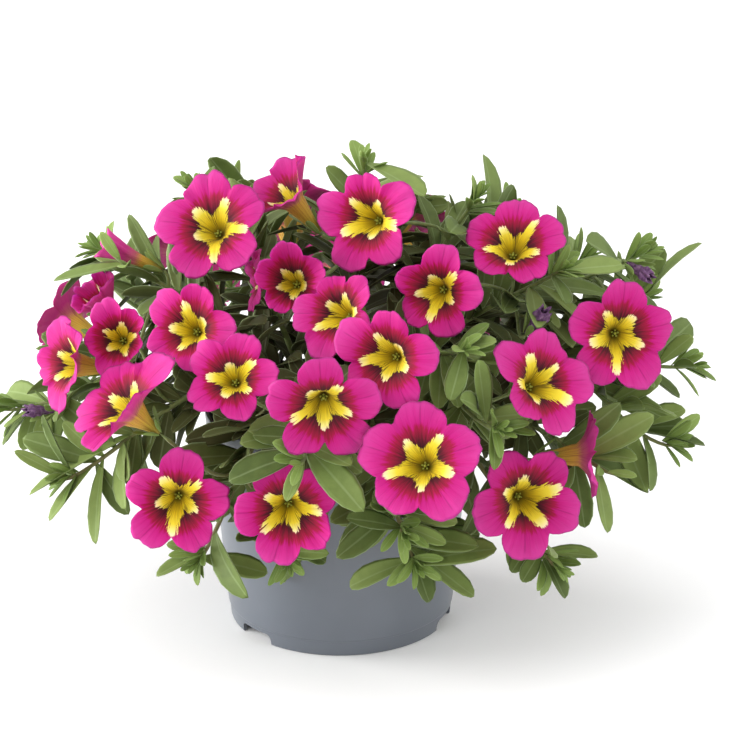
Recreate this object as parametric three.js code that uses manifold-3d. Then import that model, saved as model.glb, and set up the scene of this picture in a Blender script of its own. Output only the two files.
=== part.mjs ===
// A flowering calibrachoa in its 10.5 cm nursery pot, in millimetres, +Z up.
// The origin is the middle of the pot's foot, on the ground; the front looks along -Y.
// The plant is a mound of leafy stems that rise from the potting soil, arch over the rim and
// carry trumpet flowers with five round lobes. Leaves, calyces and flower stalks are fused to
// their stem; each flower stands 0.3 mm clear in its calyx.
import * as THREE from 'three';
import { mergeVertices } from 'three/addons/utils/BufferGeometryUtils.js';
import Module from 'manifold-3d';

const wasm = await Module();
wasm.setup();

// ---------------------------------------------------------------- driving dimensions
const gap = 0.3; // clear space between two pieces that touch on the real plant
const clearance = 0.4; // between shoots of different stems

const potSides = 32;
const potHeight = 88;
const footRadius = 44;
const wallLean = 0.093; // how far the wall leans out for each mm of height
const wallThickness = 1.3;
const collarFrom = 70; // the rim band starts at this height
const collarProud = 1.0;
const bandThickness = 1.6; // the rim band's wall
const lipChamfer = 0.6; // the small bevels at the rim and under the foot
const lipHeight = 0.8;
const stepProud = 0.35; // the wall steps out a little just above the foot ring
const floorTop = 6.5;
const floorThickness = 1.5;
const notchHeight = 4.5;
const notchWidth = 17;
const notchSlope = 4; // how much narrower a notch is at its top, on each side
const notchAngles = [-49, 71, 191]; // degrees from the front, towards +X
const drainRadius = 3.4;
const drainCircle = 29;
const drainCount = 6;
const drainTurn = 11;
const soilEdge = 78;
const soilShoulder = [30, 80.6]; // radius and height where the crown starts to fall
const soilCrown = 82;
const rootHeight = 70.4; // where the stems end in the soil

const mainSteps = 6; // straight steps along a stem, and along a side shoot
const sideSteps = 4;
const stemRadius = 1.5;
const shootRadius = 1.1;
const stalkRadius = 0.8;
const shootTipRadius = 0.7;
const stemTaper = 0.6; // a stem's hole in the soil is this much wider at the root
const shootPoint = 2.5; // a shoot ends in a point of this length
const leafThickness = 0.95;
const leafLength = 31;
const leafWidth = 10.6;
const tipLeafLength = 16;
const tipLeafWidth = 5.4;
const goldenAngle = 137.5; // from one leaf to the next round a shoot
const plantHeart = [0, 0, 92]; // shoots end pointing away from here

const tubeLength = 21; // from the flower's face to the foot of its tube
const tubeFootRadius = 1.5;
const throatDepth = 9;
const throatRadius = 2.1;
const throatPoint = 1.2; // the throat narrows to a point this much deeper
const throatWall = 1.6;
const membrane = 1; // the corolla's thickness half way to its rim
const seamRise = 1.9; // the rim stands this far forward where two lobes meet
const lobeFall = 1.8; // and falls back by this much in the middle of a lobe
const liftLoss = 0.02; // share of its reach that a lobe loses for each mm it is lifted
const sepalLength = 9;
const sepalSpread = 4.6;
const sepalDip = 1.6; // height of the calyx between two sepals
const cupRadius = 2.1;
const cupDepth = 1.3;

// ---------------------------------------------------------------- the plant, as it grew
// Every flower: the middle of its face, where it looks (yaw from the front towards +X, pitch
// above the horizon), the turn of its seams, its width, how far out its lobes are parted (as a
// share of its radius), and for each lobe its size and how far it stands forward.
const flowers = [
  {
    name: 'a1', at: [-47, -46, 177.4], yaw: -20, pitch: 38, roll: 73, across: 44, cleft: 0.59,
    size: [1.02, 1.02, 0.98, 0.99, 0.98], lift: [0, 0, 0, 0, 0],
  },
  {
    name: 'a2', at: [-20, -23, 183], yaw: -80, pitch: 53, roll: 42, across: 36, cleft: 0.58,
    size: [0.95, 1.1, 1.05, 0.95, 0.9], lift: [8, 3, 3, 2, 1],
  },
  {
    name: 'a3', at: [10, -51, 181], yaw: -32, pitch: 18, roll: 71, across: 41, cleft: 0.6,
    size: [0.88, 1.07, 1.02, 1, 1.08], lift: [0, 0, 0, 0, 0],
  },
  {
    name: 'a4', at: [-17, -61.5, 160.5], yaw: -12, pitch: 24, roll: 60, across: 31.5, cleft: 0.57,
    size: [1.12, 0.95, 0.8, 0.85, 1.08], lift: [8, 5, 0, 0, 8],
  },
  {
    name: 'a4b', at: [-32, -32, 152], yaw: -84, pitch: 3, roll: 20, across: 28, cleft: 0.57,
    size: [1, 1, 1, 1, 1], lift: [0, 0, 0, 0, 0],
  },
  {
    name: 'a5', at: [-1, -80, 156], yaw: -40, pitch: 29, roll: 16, across: 37, cleft: 0.6,
    size: [0.94, 0.8, 1.06, 1, 0.95], lift: [2, -3, 0, 0, 0],
  },
  {
    name: 'b1', at: [64, -50, 172], yaw: -5, pitch: 51, roll: 49, across: 41, cleft: 0.58,
    size: [1, 0.9, 0.86, 0.9, 1], lift: [0, 0, 0, 0, 0],
  },
  {
    name: 'b2', at: [35, -80, 163], yaw: -20, pitch: 11, roll: 47, across: 36.4, cleft: 0.6,
    size: [1, 0.88, 0.88, 0.97, 1.06], lift: [0, 4, 0, 0, 2],
  },
  {
    name: 'b3', at: [103, -68, 142], yaw: 8, pitch: 14, roll: 47, across: 43, cleft: 0.59,
    size: [1, 0.97, 1, 1.04, 0.96], lift: [0, 0, 0, 0, 0],
  },
  {
    name: 'b4', at: [74, -91, 133], yaw: 36, pitch: 29, roll: 26, across: 41, cleft: 0.58,
    size: [1, 1.06, 0.97, 1, 1.06], lift: [0, 0, 4, 0, 0],
  },
  {
    name: 'c1', at: [-101, -66, 131], yaw: -58, pitch: 20, roll: 26, across: 37, cleft: 0.59,
    size: [1, 1, 0.92, 1.03, 1], lift: [3, 0, 0, 0, 3],
  },
  {
    name: 'c2', at: [-89, -35, 144], yaw: -75, pitch: 55, roll: 20, across: 24, cleft: 0.58,
    size: [1.1, 0.9, 1, 0.95, 1], lift: [7, 6, 6, 6, 7],
  },
  {
    name: 'c2b', at: [-80.5, -65, 140], yaw: -7, pitch: 26, roll: 11, across: 31, cleft: 0.56,
    size: [0.9, 1.05, 0.85, 1.1, 0.85], lift: [7, 3, 6, 2, 7],
  },
  {
    name: 'c3', at: [-78, -95, 126], yaw: -55, pitch: 43, roll: 33, across: 46, cleft: 0.6,
    size: [1.12, 0.9, 1, 0.97, 0.9], lift: [0, 0, 0, 3, 9],
  },
  {
    name: 'd1', at: [-54, -78, 149], yaw: -19, pitch: 29, roll: 111, across: 37, cleft: 0.6,
    size: [1, 0.92, 0.97, 1, 0.97], lift: [0, 0, 4, 0, 4],
  },
  {
    name: 'd2', at: [-38, -98, 138], yaw: -10, pitch: 36, roll: 39, across: 36, cleft: 0.6,
    size: [0.97, 1, 0.98, 0.93, 0.98], lift: [0, 0, 0, 0, 0],
  },
  {
    name: 'd3', at: [-5, -114, 131], yaw: -1, pitch: -10, roll: 57, across: 44, cleft: 0.625,
    size: [0.98, 0.95, 0.94, 1.01, 1.02], lift: [0, 0, 0, 0, 0],
  },
  {
    name: 'd4', at: [17, -104, 147], yaw: -26, pitch: 15, roll: 51, across: 41, cleft: 0.61,
    size: [0.92, 1.06, 0.96, 0.94, 0.98], lift: [3, 0, 0, 0, 0],
  },
  {
    name: 'e1', at: [-59, -90, 85], yaw: -1, pitch: 6, roll: 45, across: 42, cleft: 0.61,
    size: [1.06, 0.97, 1, 0.94, 0.98], lift: [0, 0, 0, 0, 0],
  },
  {
    name: 'e2', at: [-18, -100, 86], yaw: 0, pitch: 4, roll: 2, across: 43, cleft: 0.6,
    size: [1, 1, 0.96, 1, 0.93], lift: [0, 0, 0, 0, 5],
  },
  {
    name: 'f1', at: [29, -123, 115], yaw: -16, pitch: 29, roll: 61, across: 45.4, cleft: 0.575,
    size: [1.01, 1.04, 0.92, 1.04, 1.01], lift: [0, 0, 0, 0, 0],
  },
  {
    name: 'g1', at: [69, -89, 86], yaw: 18, pitch: 14, roll: 12, across: 43.5, cleft: 0.59,
    size: [0.95, 0.95, 1.05, 1.05, 1.02], lift: [0, 0, 0, 0, 0],
  },
  {
    name: 'h1', at: [94, -68, 95.5], yaw: 90, pitch: 5, roll: 10, across: 34, cleft: 0.58,
    size: [1, 1, 1, 1, 1], lift: [0, 0, 0, 0, 0],
  },
];

// Flowers on the far side, in rows: how many, from which azimuth (degrees from the front,
// towards +X) to which, at what height and how far out.
const farRows = [
  { count: 5, from: 122, to: 238, height: 94, reach: 131 },
  { count: 4, from: 136, to: 216, height: 126, reach: 106 },
  { count: 2, from: 158, to: 198, height: 148, reach: 68 },
];

// A half-open bud and three wilted corollas: the middle of the mouth and where it looks.
const closedFlowers = [
  { name: 'bud', at: [-88, -34, 166], yaw: -89, pitch: 26, length: 24, radius: 4.6, flare: 1.35 },
  { name: 'wilted_1', at: [76, -62, 150], yaw: 60, pitch: 55, length: 13, radius: 3.4, flare: 0.8 },
  { name: 'wilted_2', at: [117, -33, 152], yaw: 45, pitch: -14, length: 12, radius: 3.2, flare: 0.7 },
  { name: 'wilted_3', at: [-119, -37, 100], yaw: -55, pitch: 11, length: 12, radius: 3, flare: 0.8 },
];

// Every leafy stem: where it stands in the soil, where its tip ends, the tip of its side shoot.
const stems = [
  { root: [2, -3], tip: [10, -9, 192], side: [30, 12, 166] },
  { root: [13, -6], tip: [52, -28, 183], side: [66, -2, 168] },
  { root: [25, -3], tip: [117, -17, 157], side: [120, 12, 128] },
  { root: [18, -12], tip: [84, -50, 162], side: null },
  { root: [36, -4], tip: [137, -16, 110], side: [128, -34, 84] },
  { root: [30, -17], tip: [103, -62, 84], side: null },
  { root: [22, -27], tip: [83, -66, 47], side: null },
  { root: [7, -35], tip: [24, -90, 72], side: [29, -73, 52] },
  { root: [10, -18], tip: [46, -92, 146], side: [58, -101, 118] },
  { root: [-6, -25], tip: [-13, -112, 109], side: null },
  { root: [-17, -31], tip: [-53, -62, 49], side: [-19, -66, 50] },
  { root: [-33, -14], tip: [-106, -42, 73], side: null },
  { root: [-37, -4], tip: [-131, -12, 90], side: [-98, 22, 94] },
  { root: [-17, -11], tip: [-84, -42, 164], side: null },
  { root: [-12, -2], tip: [-56, -13, 182], side: [-34, 20, 160] },
  { root: [-24, 14], tip: [-98, 44, 138], side: [-92, 62, 96] },
  { root: [-10, 16], tip: [-44, 66, 158], side: [-48, 92, 104] },
  { root: [4, 24], tip: [8, 100, 132], side: [-2, 98, 72] },
  { root: [14, 14], tip: [60, 54, 144], side: [56, 90, 100] },
  { root: [27, 13], tip: [100, 44, 134], side: [98, 60, 90] },
];

// The leaves that stand out: which stem carries each, its tip, its length and its width.
const plainLeaves = [
  { stem: 1, tip: [32, -33, 184], length: 30, width: 11 },
  { stem: 1, tip: [-5, -16, 190], length: 24, width: 9 },
  { stem: 2, tip: [41, -51, 176], length: 28, width: 10 },
  { stem: 2, tip: [66, -13, 182], length: 26, width: 9 },
  { stem: 3, tip: [92, -34, 167], length: 28, width: 11 },
  { stem: 3, tip: [141, 14, 150], length: 26, width: 9 },
  { stem: 4, tip: [106, -35, 158], length: 28, width: 9 },
  { stem: 4, tip: [83, -67, 154], length: 20, width: 8 },
  { stem: 5, tip: [134, -25, 126], length: 22, width: 7 },
  { stem: 5, tip: [133, -23, 95], length: 22, width: 10 },
  { stem: 5, tip: [140, -33, 84], length: 26, width: 9 },
  { stem: 6, tip: [112, -56, 88], length: 30, width: 10 },
  { stem: 6, tip: [118, -43, 69], length: 34, width: 11 },
  { stem: 7, tip: [98, -60, 50], length: 22, width: 8 },
  { stem: 7, tip: [85, -72, 38], length: 22, width: 9 },
  { stem: 7, tip: [65, -62, 46], length: 24, width: 7 },
  { stem: 8, tip: [1, -81, 59], length: 30, width: 11 },
  { stem: 8, tip: [3, -99, 83], length: 24, width: 9 },
  { stem: 8, tip: [4, -66, 40], length: 24, width: 9 },
  { stem: 8, tip: [34, -71, 36], length: 28, width: 10 },
  { stem: 8, tip: [34, -62, 44], length: 24, width: 10 },
  { stem: 8, tip: [59, -75, 60], length: 30, width: 12 },
  { stem: 8, tip: [51, -70, 38], length: 32, width: 10 },
  { stem: 9, tip: [35, -96, 147], length: 20, width: 8 },
  { stem: 9, tip: [57, -90, 148], length: 20, width: 8 },
  { stem: 9, tip: [50, -97, 144], length: 22, width: 8 },
  { stem: 9, tip: [40, -107, 132], length: 20, width: 8 },
  { stem: 9, tip: [71, -96, 123], length: 22, width: 9 },
  { stem: 10, tip: [-39, -107, 101], length: 30, width: 11 },
  { stem: 10, tip: [5, -114, 110], length: 26, width: 9 },
  { stem: 10, tip: [-18, -118, 98], length: 20, width: 6 },
  { stem: 11, tip: [-69, -65, 44], length: 20, width: 8 },
  { stem: 11, tip: [-38, -75, 63], length: 18, width: 8 },
  { stem: 11, tip: [-27, -62, 44], length: 26, width: 10 },
  { stem: 11, tip: [-5, -59, 47], length: 24, width: 9 },
  { stem: 12, tip: [-118, -46, 69], length: 30, width: 9 },
  { stem: 12, tip: [-110, -52, 61], length: 28, width: 8 },
  { stem: 12, tip: [-92, -58, 54], length: 34, width: 7 },
  { stem: 12, tip: [-80, -48, 62], length: 22, width: 8 },
  { stem: 13, tip: [-143, -16, 94], length: 26, width: 8 },
  { stem: 13, tip: [-128, -29, 90], length: 22, width: 7 },
  { stem: 14, tip: [-107, -33, 151], length: 30, width: 9 },
  { stem: 14, tip: [-83, -49, 161], length: 24, width: 8 },
  { stem: 14, tip: [-79, -20, 173], length: 20, width: 7 },
  { stem: 15, tip: [-63, -24, 179], length: 18, width: 6 },
  { stem: 15, tip: [-48, 2, 185], length: 18, width: 7 },
  { stem: 5, tip: [131, -19, 98], length: 20, width: 10 },
  { stem: 6, tip: [100, -74, 66], length: 26, width: 8 },
  { stem: 12, tip: [-77, -38, 76], length: 24, width: 10 },
  { stem: 12, tip: [-112, -40, 100], length: 26, width: 6 },
  { stem: 13, tip: [-131, -16, 77], length: 20, width: 5 },
];

// ---------------------------------------------------------------- plain maths
const radians = (degrees) => (degrees * Math.PI) / 180;
const vec = (x, y, z) => new THREE.Vector3(x, y, z);
const along = (start, direction, distance) => start.clone().addScaledVector(direction, distance);
const crossed = (first, second) => first.clone().cross(second).normalize();

// A small repeatable draw between 0 and 1.
function makeDraw(seed) {
  let state = seed >>> 0;
  return () => {
    state = (Math.imul(state, 1664525) + 1013904223) >>> 0;
    return state / 4294967296;
  };
}

// Which way a piece looks: a points out of its face, u to its right, v up along it.
function facingFrame(yaw, pitch) {
  const y = radians(yaw);
  const p = radians(pitch);
  const a = vec(Math.sin(y) * Math.cos(p), -Math.cos(y) * Math.cos(p), Math.sin(p));
  const u = vec(Math.cos(y), Math.sin(y), 0);
  return { a, u, v: crossed(a, u) };
}

// A point on a cubic arc with four handles, and its direction there.
function arcPoint(handles, t) {
  const s = 1 - t;
  return handles[0].clone().multiplyScalar(s * s * s)
    .addScaledVector(handles[1], 3 * s * s * t)
    .addScaledVector(handles[2], 3 * s * t * t)
    .addScaledVector(handles[3], t * t * t);
}

function arcDirection(handles, t) {
  const s = 1 - t;
  return handles[1].clone().sub(handles[0]).multiplyScalar(s * s)
    .addScaledVector(handles[2].clone().sub(handles[1]), 2 * s * t)
    .addScaledVector(handles[3].clone().sub(handles[2]), t * t)
    .normalize();
}

// A shoot is skinned in straight steps: this is the point on its axis at a place from 0 to 1.
function onShoot(handles, steps, place) {
  const step = Math.min(Math.floor(place * steps), steps - 1);
  const lower = arcPoint(handles, step / steps);
  return lower.lerp(arcPoint(handles, (step + 1) / steps), place * steps - step);
}

// ---------------------------------------------------------------- meshes and solids
// Triangles between two closed rings of points; one may have twice the points of the other,
// or be a single point.
function bandTriangles(first, firstCount, second, secondCount) {
  const triangles = [];
  if (firstCount === 1 || secondCount === 1) {
    const tip = firstCount === 1 ? first : second;
    const ring = firstCount === 1 ? second : first;
    const count = Math.max(firstCount, secondCount);
    for (let i = 0; i < count; i += 1) {
      const pair = [ring + i, ring + ((i + 1) % count)];
      triangles.push(firstCount === 1 ? [tip, pair[1], pair[0]] : [pair[0], pair[1], tip]);
    }
    return triangles;
  }
  const steps = Math.max(firstCount, secondCount);
  for (let i = 0; i < steps; i += 1) {
    const a0 = first + Math.floor((i * firstCount) / steps);
    const a1 = first + (Math.floor(((i + 1) * firstCount) / steps) % firstCount);
    const b0 = second + Math.floor((i * secondCount) / steps);
    const b1 = second + (Math.floor(((i + 1) * secondCount) / steps) % secondCount);
    if (a0 !== a1) triangles.push([a0, a1, b1]);
    if (b0 !== b1) triangles.push([a0, b1, b0]);
  }
  return triangles;
}

// One closed solid through a row of rings. A first or last ring of more than one point is
// closed by a flat fan.
function skinRings(rings) {
  const starts = [];
  const points = [];
  for (const ring of rings) {
    starts.push(points.length);
    points.push(...ring);
  }
  const triangles = [];
  const last = rings.length - 1;
  for (let i = 1; i < rings[0].length - 1; i += 1) triangles.push([0, i + 1, i]);
  for (let k = 0; k < last; k += 1) {
    triangles.push(...bandTriangles(starts[k], rings[k].length, starts[k + 1], rings[k + 1].length));
  }
  for (let i = 1; i < rings[last].length - 1; i += 1) {
    triangles.push([starts[last], starts[last] + i, starts[last] + i + 1]);
  }
  let volume = 0;
  for (const [a, b, c] of triangles) volume += points[a].dot(points[b].clone().cross(points[c]));
  const facing = volume > 0 ? triangles : triangles.map(([a, b, c]) => [a, c, b]);
  return new wasm.Manifold(new wasm.Mesh({
    numProp: 3,
    vertProperties: new Float32Array(points.flatMap((point) => point.toArray())),
    triVerts: new Uint32Array(facing.flat()),
  }));
}

// A three.js geometry as a solid: shared corners merged, flat triangles dropped.
function solidFrom(geometry) {
  geometry.deleteAttribute('normal');
  geometry.deleteAttribute('uv');
  const merged = mergeVertices(geometry, 1e-4);
  const kept = [];
  for (let i = 0; i < merged.index.count; i += 3) {
    const corner = [merged.index.getX(i), merged.index.getX(i + 1), merged.index.getX(i + 2)];
    if (new Set(corner).size === 3) kept.push(...corner);
  }
  return new wasm.Manifold(new wasm.Mesh({
    numProp: 3,
    vertProperties: new Float32Array(merged.attributes.position.array),
    triVerts: new Uint32Array(kept),
  }));
}

function geometryFrom(solid) {
  const mesh = solid.getMesh();
  const geometry = new THREE.BufferGeometry();
  geometry.setAttribute('position', new THREE.BufferAttribute(mesh.vertProperties, 3));
  geometry.setIndex(new THREE.BufferAttribute(mesh.triVerts, 1));
  geometry.computeVertexNormals();
  return geometry;
}

function fuse(solids) {
  return solids.reduce((whole, solid) => whole.add(solid));
}

// True where a trial solid is clear of every solid in the list.
function isClear(trial, others) {
  const box = trial.boundingBox();
  for (const other of others) {
    const its = other.boundingBox();
    const apart = [0, 1, 2].some((i) => box.min[i] > its.max[i] || box.max[i] < its.min[i]);
    if (!apart) {
      const shared = trial.intersect(other);
      const touching = !shared.isEmpty();
      shared.delete();
      if (touching) return false;
    }
  }
  return true;
}

// A tapering round stick along an arc, ending in a point when pointed is set.
function stickRings(handles, sides, steps, from, to, pointed) {
  const rings = [];
  const reference = crossed(arcDirection(handles, 0.02), arcDirection(handles, 0.98));
  if (reference.lengthSq() < 0.5) reference.set(1, 0, 0);
  for (let k = 0; k <= steps; k += 1) {
    const t = k / steps;
    const centre = arcPoint(handles, t);
    const direction = arcDirection(handles, t);
    const across = crossed(direction, reference);
    const other = crossed(direction, across);
    const radius = from + (to - from) * t;
    const ring = [];
    for (let i = 0; i < sides; i += 1) {
      const angle = (2 * Math.PI * i) / sides;
      const spoke = across.clone().multiplyScalar(Math.cos(angle)).addScaledVector(other, Math.sin(angle));
      ring.push(along(centre, spoke, radius));
    }
    rings.push(ring);
  }
  if (pointed) rings.push([along(handles[3], arcDirection(handles, 1), shootPoint)]);
  return rings;
}

// ---------------------------------------------------------------- pot and soil
function makePot() {
  const wallAt = (height) => footRadius + wallLean * height;
  const top = wallAt(potHeight) + collarProud;
  const outline = [
    [0, floorTop - floorThickness],
    [footRadius - wallThickness - 0.2, floorTop - floorThickness],
    [footRadius - wallThickness - 0.3, 0],
    [footRadius - lipChamfer / 2, 0],
    [footRadius, lipHeight],
    [wallAt(floorTop), floorTop],
    [wallAt(floorTop) + stepProud, floorTop + stepProud],
    [wallAt(collarFrom) + 0.1, collarFrom],
    [wallAt(collarFrom) + collarProud, collarFrom + collarProud],
    [top, potHeight - lipHeight],
    [top - lipChamfer, potHeight],
    [top - 1.5, potHeight],
    [wallAt(collarFrom) + collarProud - bandThickness, collarFrom + 1.5],
    [wallAt(collarFrom) - wallThickness, collarFrom - 1],
    [wallAt(floorTop) - wallThickness, floorTop],
    [0, floorTop],
  ];
  const turned = new THREE.LatheGeometry(outline.map(([r, z]) => new THREE.Vector2(r, z)), potSides);
  turned.rotateX(Math.PI / 2);
  let pot = solidFrom(turned);
  if (pot.volume() < 0) throw new Error('pot outline runs the wrong way');
  const arch = new THREE.Shape();
  arch.moveTo(-notchWidth / 2, -1);
  arch.lineTo(notchWidth / 2, -1);
  arch.lineTo(notchWidth / 2, 0);
  arch.lineTo(notchWidth / 2 - notchSlope / 2, notchHeight - 1.2);
  arch.lineTo(notchWidth / 2 - notchSlope, notchHeight);
  arch.lineTo(-notchWidth / 2 + notchSlope, notchHeight);
  arch.lineTo(-notchWidth / 2 + notchSlope / 2, notchHeight - 1.2);
  arch.lineTo(-notchWidth / 2, 0);
  arch.closePath();
  for (const angle of notchAngles) {
    const cutter = new THREE.ExtrudeGeometry(arch, { depth: 14, bevelEnabled: false, steps: 1 });
    cutter.rotateX(Math.PI / 2);
    cutter.translate(0, -footRadius + 9, 0);
    cutter.rotateZ(radians(angle));
    pot = pot.subtract(solidFrom(cutter));
  }
  for (let i = 0; i < drainCount; i += 1) {
    const drain = new THREE.CylinderGeometry(drainRadius, drainRadius, 4 * floorThickness, 8);
    drain.rotateX(Math.PI / 2);
    drain.translate(0, -drainCircle, floorTop - 1);
    drain.rotateZ(radians((360 / drainCount) * i + drainTurn));
    pot = pot.subtract(solidFrom(drain));
  }
  return pot;
}

// The soil fills the pot to a low crown; each stem stands in a plain hole.
function makeSoil(plants) {
  const innerAt = (height) => footRadius + wallLean * height - wallThickness - gap;
  const outline = [
    [0, floorTop + gap],
    [innerAt(floorTop) - 0.3, floorTop + gap],
    [innerAt(collarFrom) - 0.4, collarFrom - 1],
    [innerAt(collarFrom) - 0.2, soilEdge],
    soilShoulder,
    [0, soilCrown],
  ];
  const turned = new THREE.LatheGeometry(outline.map(([r, z]) => new THREE.Vector2(r, z)), potSides / 2);
  turned.rotateX(Math.PI / 2);
  let soil = solidFrom(turned);
  for (const plant of plants) {
    const sunk = plant.shoots[0].map((handle) => handle.clone().add(vec(0, 0, -clearance)));
    const hole = stickRings(sunk, 4, mainSteps, stemRadius + stemTaper, stemRadius, false);
    soil = soil.subtract(skinRings(hole));
  }
  return soil;
}

// ---------------------------------------------------------------- flowers
// How far the rim reaches and how high it stands at a place round the flower. The place runs
// from 0 to 5, one for each lobe, with the whole numbers at the notches between lobes.
function rimShape(place, flower) {
  const lobe = Math.floor(place) % 5;
  const within = place - Math.floor(place);
  const swell = Math.sin(Math.PI * within);
  const before = (lobe + 4) % 5;
  const after = (lobe + 1) % 5;
  const side = within < 0.5 ? before : after;
  const share = 0.5 * Math.pow(1 - swell, 2);
  const mixed = (list) => list[lobe] * (1 - share) + list[side] * share;
  const lift = mixed(flower.lift) + mixed(flower.ruffle);
  const turn = radians(72 * (within - 0.5));
  const lobeRadius = Math.sqrt((1 - flower.cleft) ** 2 - (flower.cleft * Math.sin(turn)) ** 2);
  const outline = flower.cleft * Math.cos(turn) + lobeRadius;
  const reach = outline * mixed(flower.size) * (1 - liftLoss * Math.max(lift, 0));
  return { reach, height: seamRise - lobeFall * swell + lift };
}

// The corolla: a funnel with five lobes, thin at the rim, on a closed tube.
function makeCorolla(flower, rimPoints) {
  const { a, u, v } = facingFrame(flower.yaw, flower.pitch);
  const centre = vec(...flower.at);
  const radius = flower.across / 2;
  const ring = (count, radiusAt, heightAt) => {
    const points = [];
    for (let i = 0; i < count; i += 1) {
      const place = (5 * i) / count;
      const angle = radians(flower.roll + 72 * place);
      const spoke = u.clone().multiplyScalar(Math.cos(angle)).addScaledVector(v, Math.sin(angle));
      points.push(along(along(centre, spoke, radiusAt(place)), a, heightAt(place)));
    }
    return points;
  };
  const rim = (place) => rimShape(place, flower);
  const middleHeight = (place) => -1.3 + 0.42 * rim(place).height;
  return skinRings([
    [along(centre, a, -throatDepth - throatPoint)],
    ring(5, () => throatRadius, () => -throatDepth),
    ring(rimPoints, (place) => 0.56 * radius * rim(place).reach, middleHeight),
    ring(rimPoints, (place) => radius * rim(place).reach, (place) => rim(place).height),
    ring(rimPoints, (place) => 0.54 * radius * rim(place).reach, (place) => middleHeight(place) - membrane),
    ring(5, () => throatRadius + throatWall, () => -throatDepth - throatPoint - membrane),
    ring(5, () => tubeFootRadius, () => -tubeLength),
  ]);
}

// A corolla that is still rolled up, or has withered: a slim spindle.
function makeClosed(flower) {
  const { a, u, v } = facingFrame(flower.yaw, flower.pitch);
  const centre = vec(...flower.at);
  const ring = (radius, height, turn) => {
    const points = [];
    for (let i = 0; i < 6; i += 1) {
      const angle = radians(60 * i + turn);
      const wave = i % 2 === 0 ? 1 : 0.72;
      const spoke = u.clone().multiplyScalar(Math.cos(angle)).addScaledVector(v, Math.sin(angle));
      points.push(along(along(centre, spoke, radius * wave), a, height));
    }
    return points;
  };
  return skinRings([
    ring(1.2, -flower.length, 0),
    ring(flower.radius * 0.62, -flower.length * 0.5, 12),
    ring(flower.radius, -flower.length * 0.18, 26),
    ring(flower.radius * flower.flare, 0, 40),
    [along(centre, a, -flower.length * 0.1)],
  ]);
}

// The flowers of the far side follow their rows, each nudged a little.
function farFlowers() {
  const draw = makeDraw(4711);
  const list = [];
  for (const row of farRows) {
    for (let i = 0; i < row.count; i += 1) {
      const azimuth = row.from + ((row.to - row.from) * i) / (row.count - 1) + 6 * (draw() - 0.5);
      const height = row.height + 10 * (draw() - 0.5);
      const tall = (height - 100) * 0.7;
      const turned = radians(azimuth);
      list.push({
        name: `far_${list.length + 1}`,
        at: [row.reach * 1.06 * Math.sin(turned), -row.reach * Math.cos(turned), height],
        yaw: azimuth + 24 * (draw() - 0.5),
        pitch: 14 + tall + 12 * (draw() - 0.5),
        roll: 72 * draw(),
        across: 38 + 6 * draw(),
        cleft: 0.59,
        lift: [0, 0, 0, 0, 0],
      });
    }
  }
  return list;
}

// ---------------------------------------------------------------- leaves, shoots and stalks
// A leaf: a bowed blade with a keel below, from its root to its tip. For trials it can be made
// a little fatter, and start clear of its shoot.
function leafSolid(leaf, extra = 0, from = 0) {
  const side = crossed(leaf.direction, leaf.normal);
  const stations = leaf.small ? [[0.5, 1]] : [[0.34, 0.95], [0.72, 0.88]];
  const rings = stations.map(([s, share]) => {
    const middle = leafPoint(leaf, s);
    const half = (leaf.width * share) / 2 + extra;
    return [
      along(along(middle, side, half), leaf.normal, extra),
      along(along(middle, side, -half), leaf.normal, extra),
      along(middle, leaf.normal, -leafThickness - extra),
    ];
  });
  return skinRings([[leafPoint(leaf, from)], ...rings, [leafPoint(leaf, 1)]]);
}

function leafPoint(leaf, s) {
  const straight = along(leaf.root, leaf.direction, leaf.length * s);
  return along(straight, leaf.normal, -leaf.bow * leaf.length * s * s);
}

// A flower stalk that ends in its calyx: a cup round the foot of the tube, drawn out into five
// narrow sepals.
function stalkSolid(stalk, extra) {
  const { handles, seat, frame } = stalk;
  const crown = (count, radiusAt, heightAt) => {
    const points = [];
    for (let i = 0; i < count; i += 1) {
      const angle = (2 * Math.PI * i) / count;
      const spoke = frame.u.clone().multiplyScalar(Math.cos(angle))
        .addScaledVector(frame.v, Math.sin(angle));
      points.push(along(along(seat, spoke, radiusAt(i)), frame.a, heightAt(i)));
    }
    return points;
  };
  const isSepal = (i) => i % 2 === 0;
  return skinRings([
    ...stickRings(handles, 4, 3, stalkRadius + extra, stalkRadius + extra, false).slice(0, 3),
    crown(5, () => cupRadius + 0.5 + extra, () => -cupDepth - extra),
    crown(10, (i) => cupRadius + (isSepal(i) ? sepalSpread : 0.6) + extra,
      (i) => (isSepal(i) ? sepalLength : sepalDip) + extra),
    crown(5, () => cupRadius - extra, () => 0),
  ]);
}

// The handles of a stem that rises from the soil and arches out to its tip.
function stemHandles(stem, sway) {
  const tip = vec(...stem.tip);
  const root = vec(stem.root[0], stem.root[1], rootHeight);
  const outward = vec(tip.x, tip.y, 0).normalize();
  const across = vec(-outward.y, outward.x, 0);
  // a stem with a low tip rises higher first, to clear the rim
  const lift = Math.min(Math.max(86 - 0.22 * tip.z, 44), 78) + sway[1];
  const last = tip.clone().sub(vec(...plantHeart)).normalize();
  const run = 0.34 * tip.distanceTo(root);
  return [
    root,
    along(root, vec(0, 0, 1), lift),
    along(along(tip, last, -run), across, sway[0]).add(vec(0, 0, 0.35 * sway[1])),
    tip,
  ];
}

// The handles of a side shoot that leaves its stem and bends to its own tip.
function sideHandles(main, tipPlace, sway) {
  const start = onShoot(main, mainSteps, 0.5);
  const leave = arcDirection(main, 0.5);
  const tip = vec(...tipPlace);
  const run = 0.36 * tip.distanceTo(start);
  const last = tip.clone().sub(vec(...plantHeart)).normalize();
  const across = crossed(last, leave);
  return [
    start,
    along(along(start, leave, run), across, 0.5 * sway[0]),
    along(along(tip, last, -run), across, sway[0]).add(vec(0, 0, sway[1])),
    tip,
  ];
}

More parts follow.
